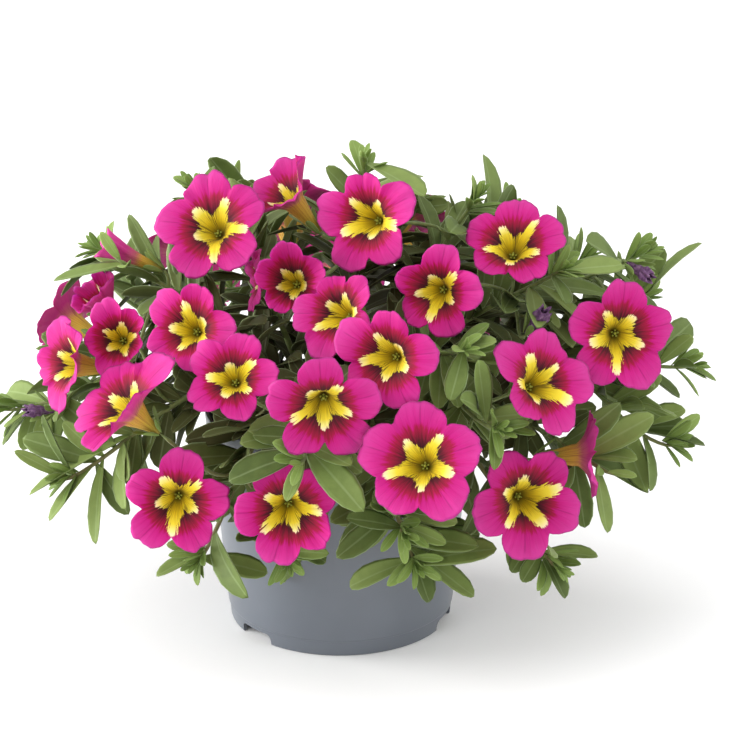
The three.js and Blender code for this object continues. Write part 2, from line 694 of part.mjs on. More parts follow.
// The ways a stem or shoot may be bent aside and raised, mm, tried in turn until one is clear.
const sways = [
  [0, 0], [7, 0], [-7, 0], [0, 9], [0, -9], [13, 5], [-13, 5], [13, -8], [-13, -8], [20, 0], [-20, 0],
  [0, 18], [20, 14], [-20, 14], [27, 0], [-27, 0], [27, 18], [-27, 18], [34, 8], [-34, 8],
];
// The ways a leaf may be turned round its shoot, degrees, tried in turn until one is clear.
const leafTurns = [0, 40, -40, 80, -80, 130, 180];

const mainLeaves = { big: 3, small: 2 };
const sideLeaves = { big: 2, small: 2 };

// The leaves along one shoot, root to tip: big ones first, then the young ones round its tip.
// Each leaf is a list of trial leaves, the first choice first.
function leavesAlong(shoot, steps, counts, turnOfShoot, draw) {
  const leaves = [];
  for (let i = 0; i < counts.big + counts.small; i += 1) {
    const small = i >= counts.big;
    const nth = small ? i - counts.big : i;
    const share = small ? nth / counts.small : (nth + 0.5) / counts.big;
    const place = small ? 0.93 + 0.07 * share : 0.5 + 0.4 * share;
    const open = small ? 66 - 44 * share : 62 + 16 * (draw() - 0.5);
    const scale = (small ? 1 - 0.4 * share : 1) * (0.84 + 0.32 * draw());
    const twist = goldenAngle * i + 40 * (draw() - 0.5) + turnOfShoot;
    const bow = (small ? 0.05 : 0.1) + 0.14 * draw();
    leaves.push(leafTurns.map((turn, k) => leafOn(shoot, steps, place, {
      small,
      turn: twist + turn,
      open: open - 3 * k,
      length: (small ? tipLeafLength : leafLength) * scale * (1 - 0.05 * k),
      width: (small ? tipLeafWidth : leafWidth) * scale * (1 - 0.05 * k),
      bow,
    })));
  }
  return leaves;
}

// A leaf that leaves its shoot at one place, turned round it and opened away from its tip.
function leafOn(shoot, steps, place, { small, turn, open, length, width, bow }) {
  const forward = arcDirection(shoot, place);
  const reference = crossed(forward, vec(0.3, -0.2, 0.93));
  const other = crossed(forward, reference);
  const spoke = reference.clone().multiplyScalar(Math.cos(radians(turn)))
    .addScaledVector(other, Math.sin(radians(turn)));
  const outward = vec(forward.x, forward.y, 0.35).normalize();
  const direction = forward.clone().multiplyScalar(Math.cos(radians(open)))
    .addScaledVector(spoke, Math.sin(radians(open)))
    .addScaledVector(outward, 0.3)
    .normalize();
  const across = crossed(direction, forward);
  const normal = turnedUp(direction, crossed(across, direction));
  return { small, root: onShoot(shoot, steps, place), direction, normal, length, width, bow };
}

// A blade turns its face to the light: its normal leans up as far as its direction lets it.
function turnedUp(direction, normal) {
  const lit = normal.clone().add(vec(0, 0, 1.2));
  return lit.addScaledVector(direction, -lit.dot(direction)).normalize();
}

// The trials for a leaf with a given tip: from every place along its shoots, the one that
// suits its length best first.
function leavesTo(shoots, { tip, length, width }) {
  const end = vec(...tip);
  const trials = [];
  shoots.forEach((shoot, i) => {
    const steps = i === 0 ? mainSteps : sideSteps;
    for (let k = 0; k <= 20; k += 1) {
      const root = onShoot(shoot, steps, 0.3 + 0.034 * k);
      const direction = end.clone().sub(root).normalize();
      const outward = vec(tip[0], tip[1], 0).normalize();
      const reach = root.distanceTo(end);
      trials.push({
        small: false, root, direction, normal: turnedUp(direction, outward), length: reach, width, bow: 0,
        misfit: Math.abs(reach - length),
      });
    }
  });
  return trials.sort((p, q) => p.misfit - q.misfit);
}

// The trial stalks of one flower: from every shoot near it, the nearest start first.
function stalksFor(flower, shoots) {
  const frame = facingFrame(flower.yaw, flower.pitch);
  const seat = along(vec(...flower.at), frame.a, -flower.depth - gap);
  const aim = along(seat, frame.a, -8);
  const starts = [];
  for (const { owner, handles, steps, first } of shoots) {
    for (let i = 0; i < 12; i += 1) {
      const place = first + 0.05 * i;
      const start = onShoot(handles, steps, place);
      starts.push({ owner, start, leave: arcDirection(handles, place), far: start.distanceTo(aim) });
    }
  }
  const near = starts.filter(({ far }) => far > 2).sort((p, q) => p.far - q.far).slice(0, 120);
  return near.map(({ owner, start, leave }) => {
    const run = 0.36 * start.distanceTo(seat);
    const toSeat = seat.clone().sub(start).normalize();
    const away = leave.clone().add(toSeat).normalize();
    const handles = [start, along(start, away, run), along(seat, frame.a, -run - cupDepth), seat];
    return { owner, handles, seat, frame };
  });
}

// ---------------------------------------------------------------- the whole plant
const shapeDraw = makeDraw(20);
const openFlowers = [...flowers, ...farFlowers()];
for (const flower of openFlowers) {
  flower.ruffle = [0, 1, 2, 3, 4].map(() => 3 * (shapeDraw() - 0.5));
  flower.size ??= [0, 1, 2, 3, 4].map(() => 0.95 + 0.1 * shapeDraw());
  flower.depth = tubeLength;
}
for (const flower of closedFlowers) flower.depth = flower.length;

const pot = makePot();
const heads = [
  ...openFlowers.map((flower, i) => (
    { flower, solid: makeCorolla(flower, i < flowers.length ? 20 : 15) }
  )),
  ...closedFlowers.map((flower) => ({ flower, solid: makeClosed(flower) })),
];
const headSolids = heads.map(({ solid }) => solid);
const plants = stems.map((stem, i) => ({
  name: `stem_${String(i + 1).padStart(2, '0')}`,
  turn: 67 * i,
  stem,
  shoots: [],
  solids: [],
}));

const solidsOfOthers = (plant) => plants.filter((p) => p !== plant).flatMap(({ solids }) => solids);

function standsClear(fat, blockers) {
  const free = isClear(fat, blockers);
  fat.delete();
  return free;
}

// The main stems, then the side shoots, each bent clear of all that stands before it.
function mainStick(handles, extra = 0) {
  return skinRings(
    stickRings(handles, 4, mainSteps, stemRadius + extra, shootTipRadius + extra, true),
  );
}
function sideStick(handles, extra = 0) {
  return skinRings(
    stickRings(handles, 4, sideSteps, shootRadius + extra, shootTipRadius + extra, true),
  );
}
for (const plant of plants) {
  const blockers = [pot, ...headSolids, ...solidsOfOthers(plant)];
  const trials = sways.map((sway) => stemHandles(plant.stem, sway));
  const clear = trials.find((handles) => standsClear(mainStick(handles, clearance), blockers));
  plant.shoots.push(clear);
  plant.solids.push(mainStick(clear));
}
for (const plant of plants.filter(({ stem }) => stem.side)) {
  const blockers = [pot, ...headSolids, ...solidsOfOthers(plant)];
  const trials = sways.map((sway) => sideHandles(plant.shoots[0], plant.stem.side, sway));
  const clear = trials.find((handles) => standsClear(sideStick(handles, clearance), blockers));
  plant.shoots.push(clear);
  plant.solids.push(sideStick(clear));
}
const soil = makeSoil(plants);

// Every flower's stalk and calyx, from the nearest shoot that lets it pass clear.
for (const { flower, solid } of heads) {
  const shoots = plants.flatMap((owner) => owner.shoots.map((handles, i) => (
    { owner, handles, steps: i === 0 ? mainSteps : sideSteps, first: i === 0 ? 0.37 : 0.2 }
  )));
  const otherHeads = [pot, soil, ...headSolids.filter((head) => head !== solid)];
  const clear = stalksFor(flower, shoots).find((stalk) => (
    standsClear(stalkSolid(stalk, gap), [...otherHeads, ...solidsOfOthers(stalk.owner)])
  ));
  clear.owner.solids.push(stalkSolid(clear, 0));
}

// The leaves, last: clear of everything else, and past their root clear of their own stem. A leaf
// that finds no room is left off.
function addLeaf(plant, trials) {
  const blockers = [pot, soil, ...headSolids, ...solidsOfOthers(plant)];
  const clear = trials.find((leaf) => (
    standsClear(leafSolid(leaf, gap), blockers)
    && standsClear(leafSolid(leaf, 0.1, leaf.small ? 0.3 : 0.2), plant.solids)
  ));
  if (clear) plant.solids.push(leafSolid(clear));
}
for (const leaf of plainLeaves) {
  const plant = plants[leaf.stem - 1];
  addLeaf(plant, leavesTo(plant.shoots, leaf));
}
for (const plant of plants) {
  const draw = makeDraw(900 + plant.turn);
  plant.shoots.forEach((shoot, i) => {
    const steps = i === 0 ? mainSteps : sideSteps;
    const counts = i === 0 ? mainLeaves : sideLeaves;
    for (const trials of leavesAlong(shoot, steps, counts, plant.turn, draw)) addLeaf(plant, trials);
  });
}

const part = new THREE.Group();
function addPiece(name, solid, colour, roughness) {
  const material = new THREE.MeshStandardMaterial({ color: colour, roughness, metalness: 0 });
  const mesh = new THREE.Mesh(geometryFrom(solid), material);
  mesh.name = name;
  part.add(mesh);
}
addPiece('pot', pot, 0x8b929b, 0.5);
addPiece('soil', soil, 0x2e241c, 0.95);
for (const { flower, solid } of heads) {
  const open = flower.across !== undefined;
  addPiece(open ? `bloom_${flower.name}` : flower.name, solid, open ? 0xd42a8b : 0x9a4a80, 0.6);
}
for (const plant of plants) addPiece(plant.name, fuse(plant.solids), 0x5f7f3e, 0.65);

export default part;
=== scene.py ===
# A flowering calibrachoa in its round plastic nursery pot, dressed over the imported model.
# Meshes are written in metres; the plant's own measures are given in millimetres and turned to
# metres there. +Z is up, and the plant is seen from -Y.
import math

import bpy
import numpy as np
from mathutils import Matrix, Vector


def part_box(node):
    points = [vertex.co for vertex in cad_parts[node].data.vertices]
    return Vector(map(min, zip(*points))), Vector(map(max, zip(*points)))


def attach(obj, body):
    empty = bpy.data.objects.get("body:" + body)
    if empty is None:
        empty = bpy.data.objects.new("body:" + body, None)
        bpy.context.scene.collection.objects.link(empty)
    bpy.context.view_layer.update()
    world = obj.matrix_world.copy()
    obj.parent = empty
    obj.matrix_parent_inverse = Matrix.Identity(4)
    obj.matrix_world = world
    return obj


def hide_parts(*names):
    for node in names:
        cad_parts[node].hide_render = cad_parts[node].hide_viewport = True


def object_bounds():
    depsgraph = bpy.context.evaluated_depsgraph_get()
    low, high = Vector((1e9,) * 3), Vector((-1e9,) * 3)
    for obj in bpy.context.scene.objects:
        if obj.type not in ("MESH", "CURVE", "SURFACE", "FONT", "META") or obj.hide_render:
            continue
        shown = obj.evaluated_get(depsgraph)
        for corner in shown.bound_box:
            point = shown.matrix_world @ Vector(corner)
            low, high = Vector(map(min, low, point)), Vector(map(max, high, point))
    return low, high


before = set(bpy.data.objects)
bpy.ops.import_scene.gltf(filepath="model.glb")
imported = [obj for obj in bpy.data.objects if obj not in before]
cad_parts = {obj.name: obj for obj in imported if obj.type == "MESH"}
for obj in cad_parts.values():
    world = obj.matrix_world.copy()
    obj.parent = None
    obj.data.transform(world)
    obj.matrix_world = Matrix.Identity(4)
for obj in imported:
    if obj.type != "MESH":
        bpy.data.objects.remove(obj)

mm = 0.001
cad_box = [list(corner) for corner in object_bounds()]

# ------------ camera
# The plant is looked at from its front and a little from above, from 1.2 m away through a
# long lens, so that far and near flowers keep nearly the same scale.
view_pitch = math.radians(21.255)
view_distance = 1.2
view_target = (0.01056, 0.0, 0.10031)
long_lens = bpy.data.cameras.new("long_lens")
long_lens.lens = 147.47
long_lens.sensor_width = 36.0
long_lens.clip_end = 20.0
camera = bpy.data.objects.new("camera", long_lens)
camera.location = (
    view_target[0],
    view_target[1] - view_distance * math.cos(view_pitch),
    view_target[2] + view_distance * math.sin(view_pitch),
)
camera.rotation_euler = (math.radians(90) - view_pitch, 0, 0)
bpy.context.scene.collection.objects.link(camera)
bpy.context.scene.camera = camera

# ------------ pot
# A thin-walled nursery pot of grey-blue polypropylene, injection moulded: a leaning wall under
# a proud rim band, a small step above a foot ring with three low notches, and a raised floor
# with drain holes.
pot_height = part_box("pot")[1].z
foot_radius = 44 * mm
wall_lean = 0.093
wall_thickness = 1.2 * mm
step_height = 6.5 * mm
band_from = 70 * mm
band_proud = 1.0 * mm
notch_height = 4.5 * mm
notch_width = 17 * mm
notch_turns = (-49, 71, 191)
notch_circle = foot_radius - 2 * mm
notch_depth = 14 * mm
notch_rounding = 2.4 * mm
drain_count = 6
drain_turn = 11
drain_radius = 3.4 * mm
drain_circle = 29 * mm


def deselect_all():
    """Leaves nothing selected, so that the next operator acts on its own piece alone."""
    if bpy.context.object and bpy.context.object.mode != "OBJECT":
        bpy.ops.object.mode_set(mode="OBJECT")
    bpy.ops.object.select_all(action="DESELECT")


def make_active(piece):
    """Selects one piece alone."""
    deselect_all()
    piece.select_set(True)
    bpy.context.view_layer.objects.active = piece


def face_outwards():
    """Turns every face of the active piece outwards and leaves it in object mode."""
    bpy.ops.object.mode_set(mode="EDIT")
    bpy.ops.mesh.select_all(action="SELECT")
    bpy.ops.mesh.normals_make_consistent(inside=False)
    bpy.ops.object.mode_set(mode="OBJECT")


def apply_place():
    """Writes the active piece's place, turn and scale into its mesh."""
    bpy.ops.object.transform_apply(location=True, rotation=True, scale=True)


def wall_at(height):
    """The radius of the leaning wall at a height."""
    return foot_radius + wall_lean * height


# Radius and height along the pot's skin, from its floor round the foot and over the rim.
band = wall_at(band_from) + band_proud
top = wall_at(pot_height) + band_proud
inner_foot = foot_radius - wall_thickness - 0.3 * mm
profile = [
    (inner_foot - 0.2 * mm, step_height - 1.5 * mm),
    (inner_foot, 0.5 * mm),
    (inner_foot + 0.3 * mm, 0.0),
    (foot_radius - 0.7 * mm, 0.0),
    (foot_radius - 0.15 * mm, 0.35 * mm),
    (foot_radius, 0.9 * mm),
    (wall_at(step_height) - 0.05 * mm, step_height - 0.3 * mm),
    (wall_at(step_height) + 0.3 * mm, step_height + 0.1 * mm),
    (wall_at(step_height) + 0.35 * mm, step_height + 0.5 * mm),
    (wall_at(40 * mm) + 0.2 * mm, 40 * mm),
    (wall_at(band_from) + 0.1 * mm, band_from - 0.1 * mm),
    (band - 0.3 * mm, band_from + 0.15 * mm),
    (band, band_from + 0.7 * mm),
    (top, pot_height - 0.8 * mm),
    (top - 0.2 * mm, pot_height - 0.2 * mm),
    (top - 0.6 * mm, pot_height),
    (top - 1.1 * mm, pot_height),
    (top - 1.5 * mm, pot_height - 0.4 * mm),
    (band - 1.6 * mm, band_from + 1.5 * mm),
    (wall_at(band_from) - wall_thickness, band_from - 1 * mm),
    (wall_at(step_height) - wall_thickness, step_height + 0.6 * mm),
    (wall_at(step_height) - wall_thickness - 0.8 * mm, step_height),
]
deselect_all()
bpy.ops.mesh.primitive_circle_add(
    vertices=160, radius=profile[0][0], fill_type="TRIFAN", location=(0, 0, profile[0][1])
)
pot = bpy.context.object
pot.name = "nursery_pot"
apply_place()
bpy.ops.object.mode_set(mode="EDIT")
bpy.ops.mesh.select_mode(type="EDGE")
bpy.ops.mesh.select_all(action="SELECT")
bpy.ops.mesh.region_to_loop()
for (radius, height), (next_radius, next_height) in zip(profile, profile[1:]):
    bpy.ops.mesh.extrude_edges_move(TRANSFORM_OT_translate={"value": (0, 0, next_height - height)})
    grow = next_radius / radius
    bpy.ops.transform.resize(value=(grow, grow, 1), center_override=(0, 0, next_height))
bpy.ops.mesh.edge_face_add()
face_outwards()


def cut_away(piece, cutter):
    """Cuts one closed piece out of another and throws the cutter away."""
    cut = piece.modifiers.new("cut", "BOOLEAN")
    cut.operation = "DIFFERENCE"
    cut.solver = "EXACT"
    cut.object = cutter
    bpy.context.view_layer.objects.active = piece
    bpy.ops.object.modifier_apply(modifier=cut.name)
    bpy.data.objects.remove(cutter)


for turn in notch_turns:
    deselect_all()
    angle = math.radians(turn)
    bpy.ops.mesh.primitive_cube_add(size=1)
    cutter = bpy.context.object
    cutter.scale = (notch_width, notch_depth, 2 * notch_height)
    cutter.rotation_euler = (0, 0, angle)
    cutter.location = (notch_circle * math.sin(angle), -notch_circle * math.cos(angle), 0)
    apply_place()
    rounding = cutter.modifiers.new("rounding", "BEVEL")
    rounding.width = notch_rounding
    rounding.segments = 4
    bpy.ops.object.modifier_apply(modifier=rounding.name)
    cut_away(pot, cutter)
for i in range(drain_count):
    deselect_all()
    angle = math.radians(360 / drain_count * i + drain_turn)
    hole = (drain_circle * math.sin(angle), -drain_circle * math.cos(angle), step_height - 1 * mm)
    bpy.ops.mesh.primitive_cylinder_add(
        vertices=32, radius=drain_radius, depth=8 * mm, location=hole
    )
    apply_place()
    cut_away(pot, bpy.context.object)
make_active(pot)
bpy.ops.object.shade_smooth_by_angle(angle=math.radians(35))


def linear(code):
    """An sRGB hex colour as the linear colour that shaders take."""
    parts = [int(code[i:i + 2], 16) / 255 for i in (1, 3, 5)]
    return [p / 12.92 if p <= 0.04045 else ((p + 0.055) / 1.055) ** 2.4 for p in parts] + [1.0]


def feed(tree, made, inputs):
    """Gives a node its inputs, by name or in their order: values, other nodes or their outputs."""
    for socket, value in inputs.items() if isinstance(inputs, dict) else enumerate(inputs):
        if isinstance(value, bpy.types.Node):
            value = next(output for output in value.outputs if output.enabled)
        if isinstance(value, bpy.types.NodeSocket):
            tree.links.new(value, made.inputs[socket])
        else:
            made.inputs[socket].default_value = value


def node(tree, kind, settings=None, inputs=(), stops=()):
    """Adds a shader node with its settings and inputs; a colour ramp also takes stops of a place
    and an sRGB colour."""
    made = tree.nodes.new("ShaderNode" + kind)
    for name, value in (settings or {}).items():
        setattr(made, name, value)
    feed(tree, made, inputs)
    for i, (place, code) in enumerate(stops):
        band = made.color_ramp.elements
        element = band[i] if i < len(band) else band.new(place)
        element.position = place
        element.color = linear(code)
    return made


def new_material(name):
    """An empty material with its shader and its output, ready for a pattern."""
    material = bpy.data.materials.new(name)
    material.use_nodes = True
    tree = material.node_tree
    tree.nodes.clear()
    shader = node(tree, "BsdfPrincipled")
    node(tree, "OutputMaterial", inputs={"Surface": shader})
    return material, tree, shader


colours = {"data_type": "RGBA"}

# Polypropylene, injection moulded with a fine satin grain: soft highlights, a faint cloudiness
# in the grey, and the grey a little darker towards the foot.
polypropylene, tree, shader = new_material("grey_polypropylene")
place = node(tree, "TexCoord").outputs["Object"]
cloud = node(tree, "TexNoise", inputs={"Vector": place, "Scale": 24.0, "Detail": 3.0})
grey = node(tree, "ValToRGB", inputs=[cloud], stops=[(0.3, "#565C65"), (0.7, "#60666F")])
height = node(tree, "SeparateXYZ", inputs=[place]).outputs["Z"]
# the grey turns a little darker over the lowest 14 mm of the wall
darker_towards_foot = node(tree, "MapRange", inputs=[height, 0.0, 14 * mm, 0.35, 0.0])
colour = node(tree, "Mix", colours, {"Factor": darker_towards_foot, "A": grey, "B": linear("#585D65")})
grain = node(tree, "TexNoise", inputs={"Vector": place, "Scale": 1400.0, "Detail": 2.0})
bump = node(tree, "Bump", inputs={"Strength": 0.12, "Distance": 0.1 * mm, "Height": grain})
feed(tree, shader, {
    "Base Color": colour, "Normal": bump, "Roughness": 0.34, "IOR": 1.5, "Specular IOR Level": 0.8,
})
pot.data.materials.append(polypropylene)
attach(pot, "root")
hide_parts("pot")

# ------------ potting soil
# A root ball of dark moist peat and bark that fills the pot to a low crown. Its top is crumbly:
# the surface is broken up, and loose crumbs of peat and bark lie on it.
soil_edge = 78 * mm
soil_crown = 82 * mm
soil_radius = wall_at(soil_edge) - wall_thickness - 0.4 * mm
soil_foot = wall_at(step_height) - 1.9 * mm
soil_floor = step_height + 0.4 * mm
soil_rings = 9
crumb_count = 420
deselect_all()
bpy.ops.mesh.primitive_circle_add(
    vertices=72, radius=soil_foot, fill_type="NGON", location=(0, 0, soil_floor)
)
soil = bpy.context.object
soil.name = "root_ball"
apply_place()
bpy.ops.object.mode_set(mode="EDIT")
bpy.ops.mesh.select_all(action="SELECT")
bpy.ops.mesh.extrude_region_move(TRANSFORM_OT_translate={"value": (0, 0, soil_edge - soil_floor)})
widening = soil_radius / soil_foot
bpy.ops.transform.resize(value=(widening, widening, 1), center_override=(0, 0, soil_edge))
for _ in range(soil_rings):
    bpy.ops.mesh.inset(thickness=soil_radius * 0.1, depth=(soil_crown - soil_edge) * 0.11)
face_outwards()
crumble = np.random.default_rng(11)
for corner in soil.data.vertices:
    if corner.co.z > soil_edge - 0.2 * mm:
        corner.co.z += crumble.uniform(-0.9, 0.6) * mm
        corner.co.x += crumble.uniform(-0.7, 0.7) * mm * (corner.co.xy.length < soil_radius * 0.93)


def take_shape(piece):
    """The corners and faces of a piece that was modelled once to be repeated; the piece goes."""
    corners = np.array([v.co[:] for v in piece.data.vertices])
    faces = [list(f.vertices) for f in piece.data.polygons]
    bpy.data.objects.remove(piece)
    return corners, faces


deselect_all()
bpy.ops.mesh.primitive_ico_sphere_add(subdivisions=1, radius=1.0)
crumb_corners, crumb_faces = take_shape(bpy.context.object)
crumb_faces = np.array(crumb_faces)
corners = [v.co[:] for v in soil.data.vertices]
faces = [list(f.vertices) for f in soil.data.polygons]
for _ in range(crumb_count):
    reach = soil_radius * 0.95 * math.sqrt(crumble.uniform())
    angle = crumble.uniform(0, 2 * math.pi)
    size = crumble.uniform(0.5, 1.7) * mm
    squeeze = crumble.uniform(0.5, 1.2, 3)
    height = soil_edge + (soil_crown - soil_edge) * (1 - reach / soil_radius)
    middle = np.array([reach * math.cos(angle), reach * math.sin(angle), height + 0.2 * size])
    rough = crumble.uniform(0.75, 1.2, (len(crumb_corners), 1))
    shaped = crumb_corners * rough * squeeze * size + middle
    faces += (crumb_faces + len(corners)).tolist()
    corners += shaped.tolist()
soil.data.clear_geometry()
soil.data.from_pydata(corners, [], faces)

# Moist peat: almost black brown, matt, with paler bark fibres a few millimetres long.
peat, tree, shader = new_material("moist_peat")
place = node(tree, "TexCoord").outputs["Object"]
clods = node(
    tree, "TexNoise", inputs={"Vector": place, "Scale": 420.0, "Detail": 6.0, "Roughness": 0.7},
)
brown = node(
    tree, "ValToRGB", inputs=[clods],
    stops=[(0.32, "#17110C"), (0.52, "#2E2219"), (0.66, "#4A3828"), (0.78, "#6B543C")],
)
bump = node(tree, "Bump", inputs={"Strength": 0.9, "Distance": 0.8 * mm, "Height": clods})
feed(tree, shader, {"Base Color": brown, "Normal": bump, "Roughness": 0.93})
soil.data.materials.append(peat)
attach(soil, "root")
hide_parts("soil")

# ------------ open flowers
# Each corolla is one thin living membrane: a narrow tube that opens into five broad round lobes.
# The lobes are creased along their middle and stand a little forward where two of them meet.
tube_length = 21
flowers = [
    # name, middle of the face, yaw, pitch, turn of the seams, width, how deep the lobes are parted,
    # then for each lobe its size and how far it stands forward, and the length of the star's arms
    ("a1", (-47, -46, 177.4), -20, 38, 73, 44, 0.59,
     (1.02, 1.02, 0.98, 0.99, 0.98), (0, 0, 0, 0, 0), (0.55, 0.49, 0.37, 0.7, 0.68)),
    ("a2", (-20, -23, 183), -80, 53, 42, 36, 0.58,
     (0.95, 1.1, 1.05, 0.95, 0.9), (8, 3, 3, 2, 1), (0.5, 0.5, 0.5, 0.45, 0.45)),
    ("a3", (10, -51, 181), -32, 18, 71, 41, 0.6,
     (0.88, 1.07, 1.02, 1, 1.08), (0, 0, 0, 0, 0), (0.42, 0.53, 0.6, 0.35, 0.7)),
    ("a4", (-17, -61.5, 160.5), -12, 24, 60, 31.5, 0.57,
     (1.12, 0.95, 0.8, 0.85, 1.08), (8, 5, 0, 0, 8), (0.35, 0.4, 0.4, 0.4, 0.35)),
    ("a4b", (-32, -32, 152), -84, 3, 20, 28, 0.57,
     (1, 1, 1, 1, 1), (0, 0, 0, 0, 0), (0.5, 0.5, 0.5, 0.5, 0.5)),
    ("a5", (-1, -80, 156), -40, 29, 16, 37, 0.6,
     (0.94, 0.8, 1.06, 1, 0.95), (2, -3, 0, 0, 0), (0.5, 0.42, 0.4, 0.58, 0.5)),
    ("b1", (64, -50, 172), -5, 51, 49, 41, 0.58,
     (1, 0.9, 0.86, 0.9, 1), (0, 0, 0, 0, 0), (0.67, 0.46, 0.57, 0.45, 0.54)),
    ("b2", (35, -80, 163), -20, 11, 47, 36.4, 0.6,
     (1, 0.88, 0.88, 0.97, 1.06), (0, 4, 0, 0, 2), (0.62, 0.38, 0.45, 0.61, 0.43)),
    ("b3", (103, -68, 142), 8, 14, 47, 43, 0.59,
     (1, 0.97, 1, 1.04, 0.96), (0, 0, 0, 0, 0), (0.44, 0.52, 0.55, 0.68, 0.48)),
    ("b4", (74, -91, 133), 36, 29, 26, 41, 0.58,
     (1, 1.06, 0.97, 1, 1.06), (0, 0, 4, 0, 0), (0.52, 0.57, 0.55, 0.4, 0.68)),
    ("c1", (-101, -66, 131), -58, 20, 26, 37, 0.59,
     (1, 1, 0.92, 1.03, 1), (3, 0, 0, 0, 3), (0.45, 0.5, 0.45, 0.5, 0.45)),
    ("c2", (-89, -35, 144), -75, 55, 20, 24, 0.58,
     (1.1, 0.9, 1, 0.95, 1), (7, 6, 6, 6, 7), (0.5, 0.5, 0.5, 0.5, 0.5)),
    ("c2b", (-80.5, -65, 140), -7, 26, 11, 31, 0.56,
     (0.9, 1.05, 0.85, 1.1, 0.85), (7, 3, 6, 2, 7), (0.5, 0.42, 0.45, 0.4, 0.5)),
    ("c3", (-78, -95, 126), -55, 43, 33, 46, 0.6,
     (1.12, 0.9, 1, 0.97, 0.9), (0, 0, 0, 3, 9), (0.5, 0.45, 0.45, 0.5, 0.45)),
    ("d1", (-54, -78, 149), -19, 29, 111, 37, 0.6,
     (1, 0.92, 0.97, 1, 0.97), (0, 0, 4, 0, 4), (0.55, 0.45, 0.5, 0.5, 0.35)),
    ("d2", (-38, -98, 138), -10, 36, 39, 36, 0.6,
     (0.97, 1, 0.98, 0.93, 0.98), (0, 0, 0, 0, 0), (0.6, 0.35, 0.53, 0.45, 0.52)),
    ("d3", (-5, -114, 131), -1, -10, 57, 44, 0.625,
     (0.98, 0.95, 0.94, 1.01, 1.02), (0, 0, 0, 0, 0), (0.54, 0.38, 0.58, 0.42, 0.5)),
    ("d4", (17, -104, 147), -26, 15, 51, 41, 0.61,
     (0.92, 1.06, 0.96, 0.94, 0.98), (3, 0, 0, 0, 0), (0.3, 0.49, 0.55, 0.43, 0.45)),
    ("e1", (-59, -90, 85), -1, 6, 45, 42, 0.61,
     (1.06, 0.97, 1, 0.94, 0.98), (0, 0, 0, 0, 0), (0.62, 0.55, 0.4, 0.63, 0.42)),
    ("e2", (-18, -100, 86), 0, 4, 2, 43, 0.6,
     (1, 1, 0.96, 1, 0.93), (0, 0, 0, 0, 5), (0.58, 0.4, 0.49, 0.6, 0.42)),
    ("f1", (29, -123, 115), -16, 29, 61, 45.4, 0.575,
     (1.01, 1.04, 0.92, 1.04, 1.01), (0, 0, 0, 0, 0), (0.57, 0.46, 0.62, 0.46, 0.58)),
    ("g1", (69, -89, 86), 18, 14, 12, 43.5, 0.59,
     (0.95, 0.95, 1.05, 1.05, 1.02), (0, 0, 0, 0, 0), (0.66, 0.42, 0.42, 0.6, 0.6)),
    ("h1", (94, -68, 95.5), 90, 5, 10, 34, 0.58,
     (1, 1, 1, 1, 1), (0, 0, 0, 0, 0), (0.5, 0.5, 0.5, 0.5, 0.5)),
]
# The far side's flowers stand in rows: how many, from which azimuth to which, height and reach.
far_rows = [(5, 122, 238, 94, 131), (4, 136, 216, 126, 106), (2, 158, 198, 148, 68)]


def make_draw(seed):
    """A small repeatable draw between 0 and 1, the same that placed the solids."""
    state = [seed & 0xFFFFFFFF]

    def draw():
        state[0] = (state[0] * 1664525 + 1013904223) & 0xFFFFFFFF
        return state[0] / 4294967296

    return draw


draw = make_draw(4711)
far_flowers = []
for count, first, last, row_height, reach in far_rows:
    for i in range(count):
        azimuth = first + (last - first) * i / (count - 1) + 6 * (draw() - 0.5)
        height = row_height + 10 * (draw() - 0.5)
        turned = math.radians(azimuth)
        far_flowers.append((
            f"far_{len(far_flowers) + 1}",
            (reach * 1.06 * math.sin(turned), -reach * math.cos(turned), height),
            azimuth + 24 * (draw() - 0.5),
            14 + (height - 100) * 0.7 + 12 * (draw() - 0.5),
            72 * draw(),
            38 + 6 * draw(),
            0.59,
            None,
            (0, 0, 0, 0, 0),
            (0.5, 0.6, 0.45, 0.55, 0.6),
        ))


def unit(vector):
    """A direction of length 1."""
    return vector / np.linalg.norm(vector)


def facing_frame(yaw, pitch):
    """Which way a piece looks: out of its face, to its right, and up along it."""
    y = math.radians(yaw)
    p = math.radians(pitch)
    out = np.array([math.sin(y) * math.cos(p), -math.cos(y) * math.cos(p), math.sin(p)])
    right = np.array([math.cos(y), math.sin(y), 0.0])
    return out, right, unit(np.cross(out, right))


class Corolla:
    """Where a corolla's middle is, which way it faces, and how deep and how wide it is."""

    def __init__(self, name, centre, yaw, pitch, depth, radius, flare=1.0):
        self.name = name
        self.centre = np.array(centre, float)
        self.out, self.right, self.up = facing_frame(yaw, pitch)
        self.depth = depth
        self.radius = radius
        self.flare = flare

    def spoke(self, angle):
        """The direction at an angle round the face."""
        return self.right * math.cos(angle) + self.up * math.sin(angle)


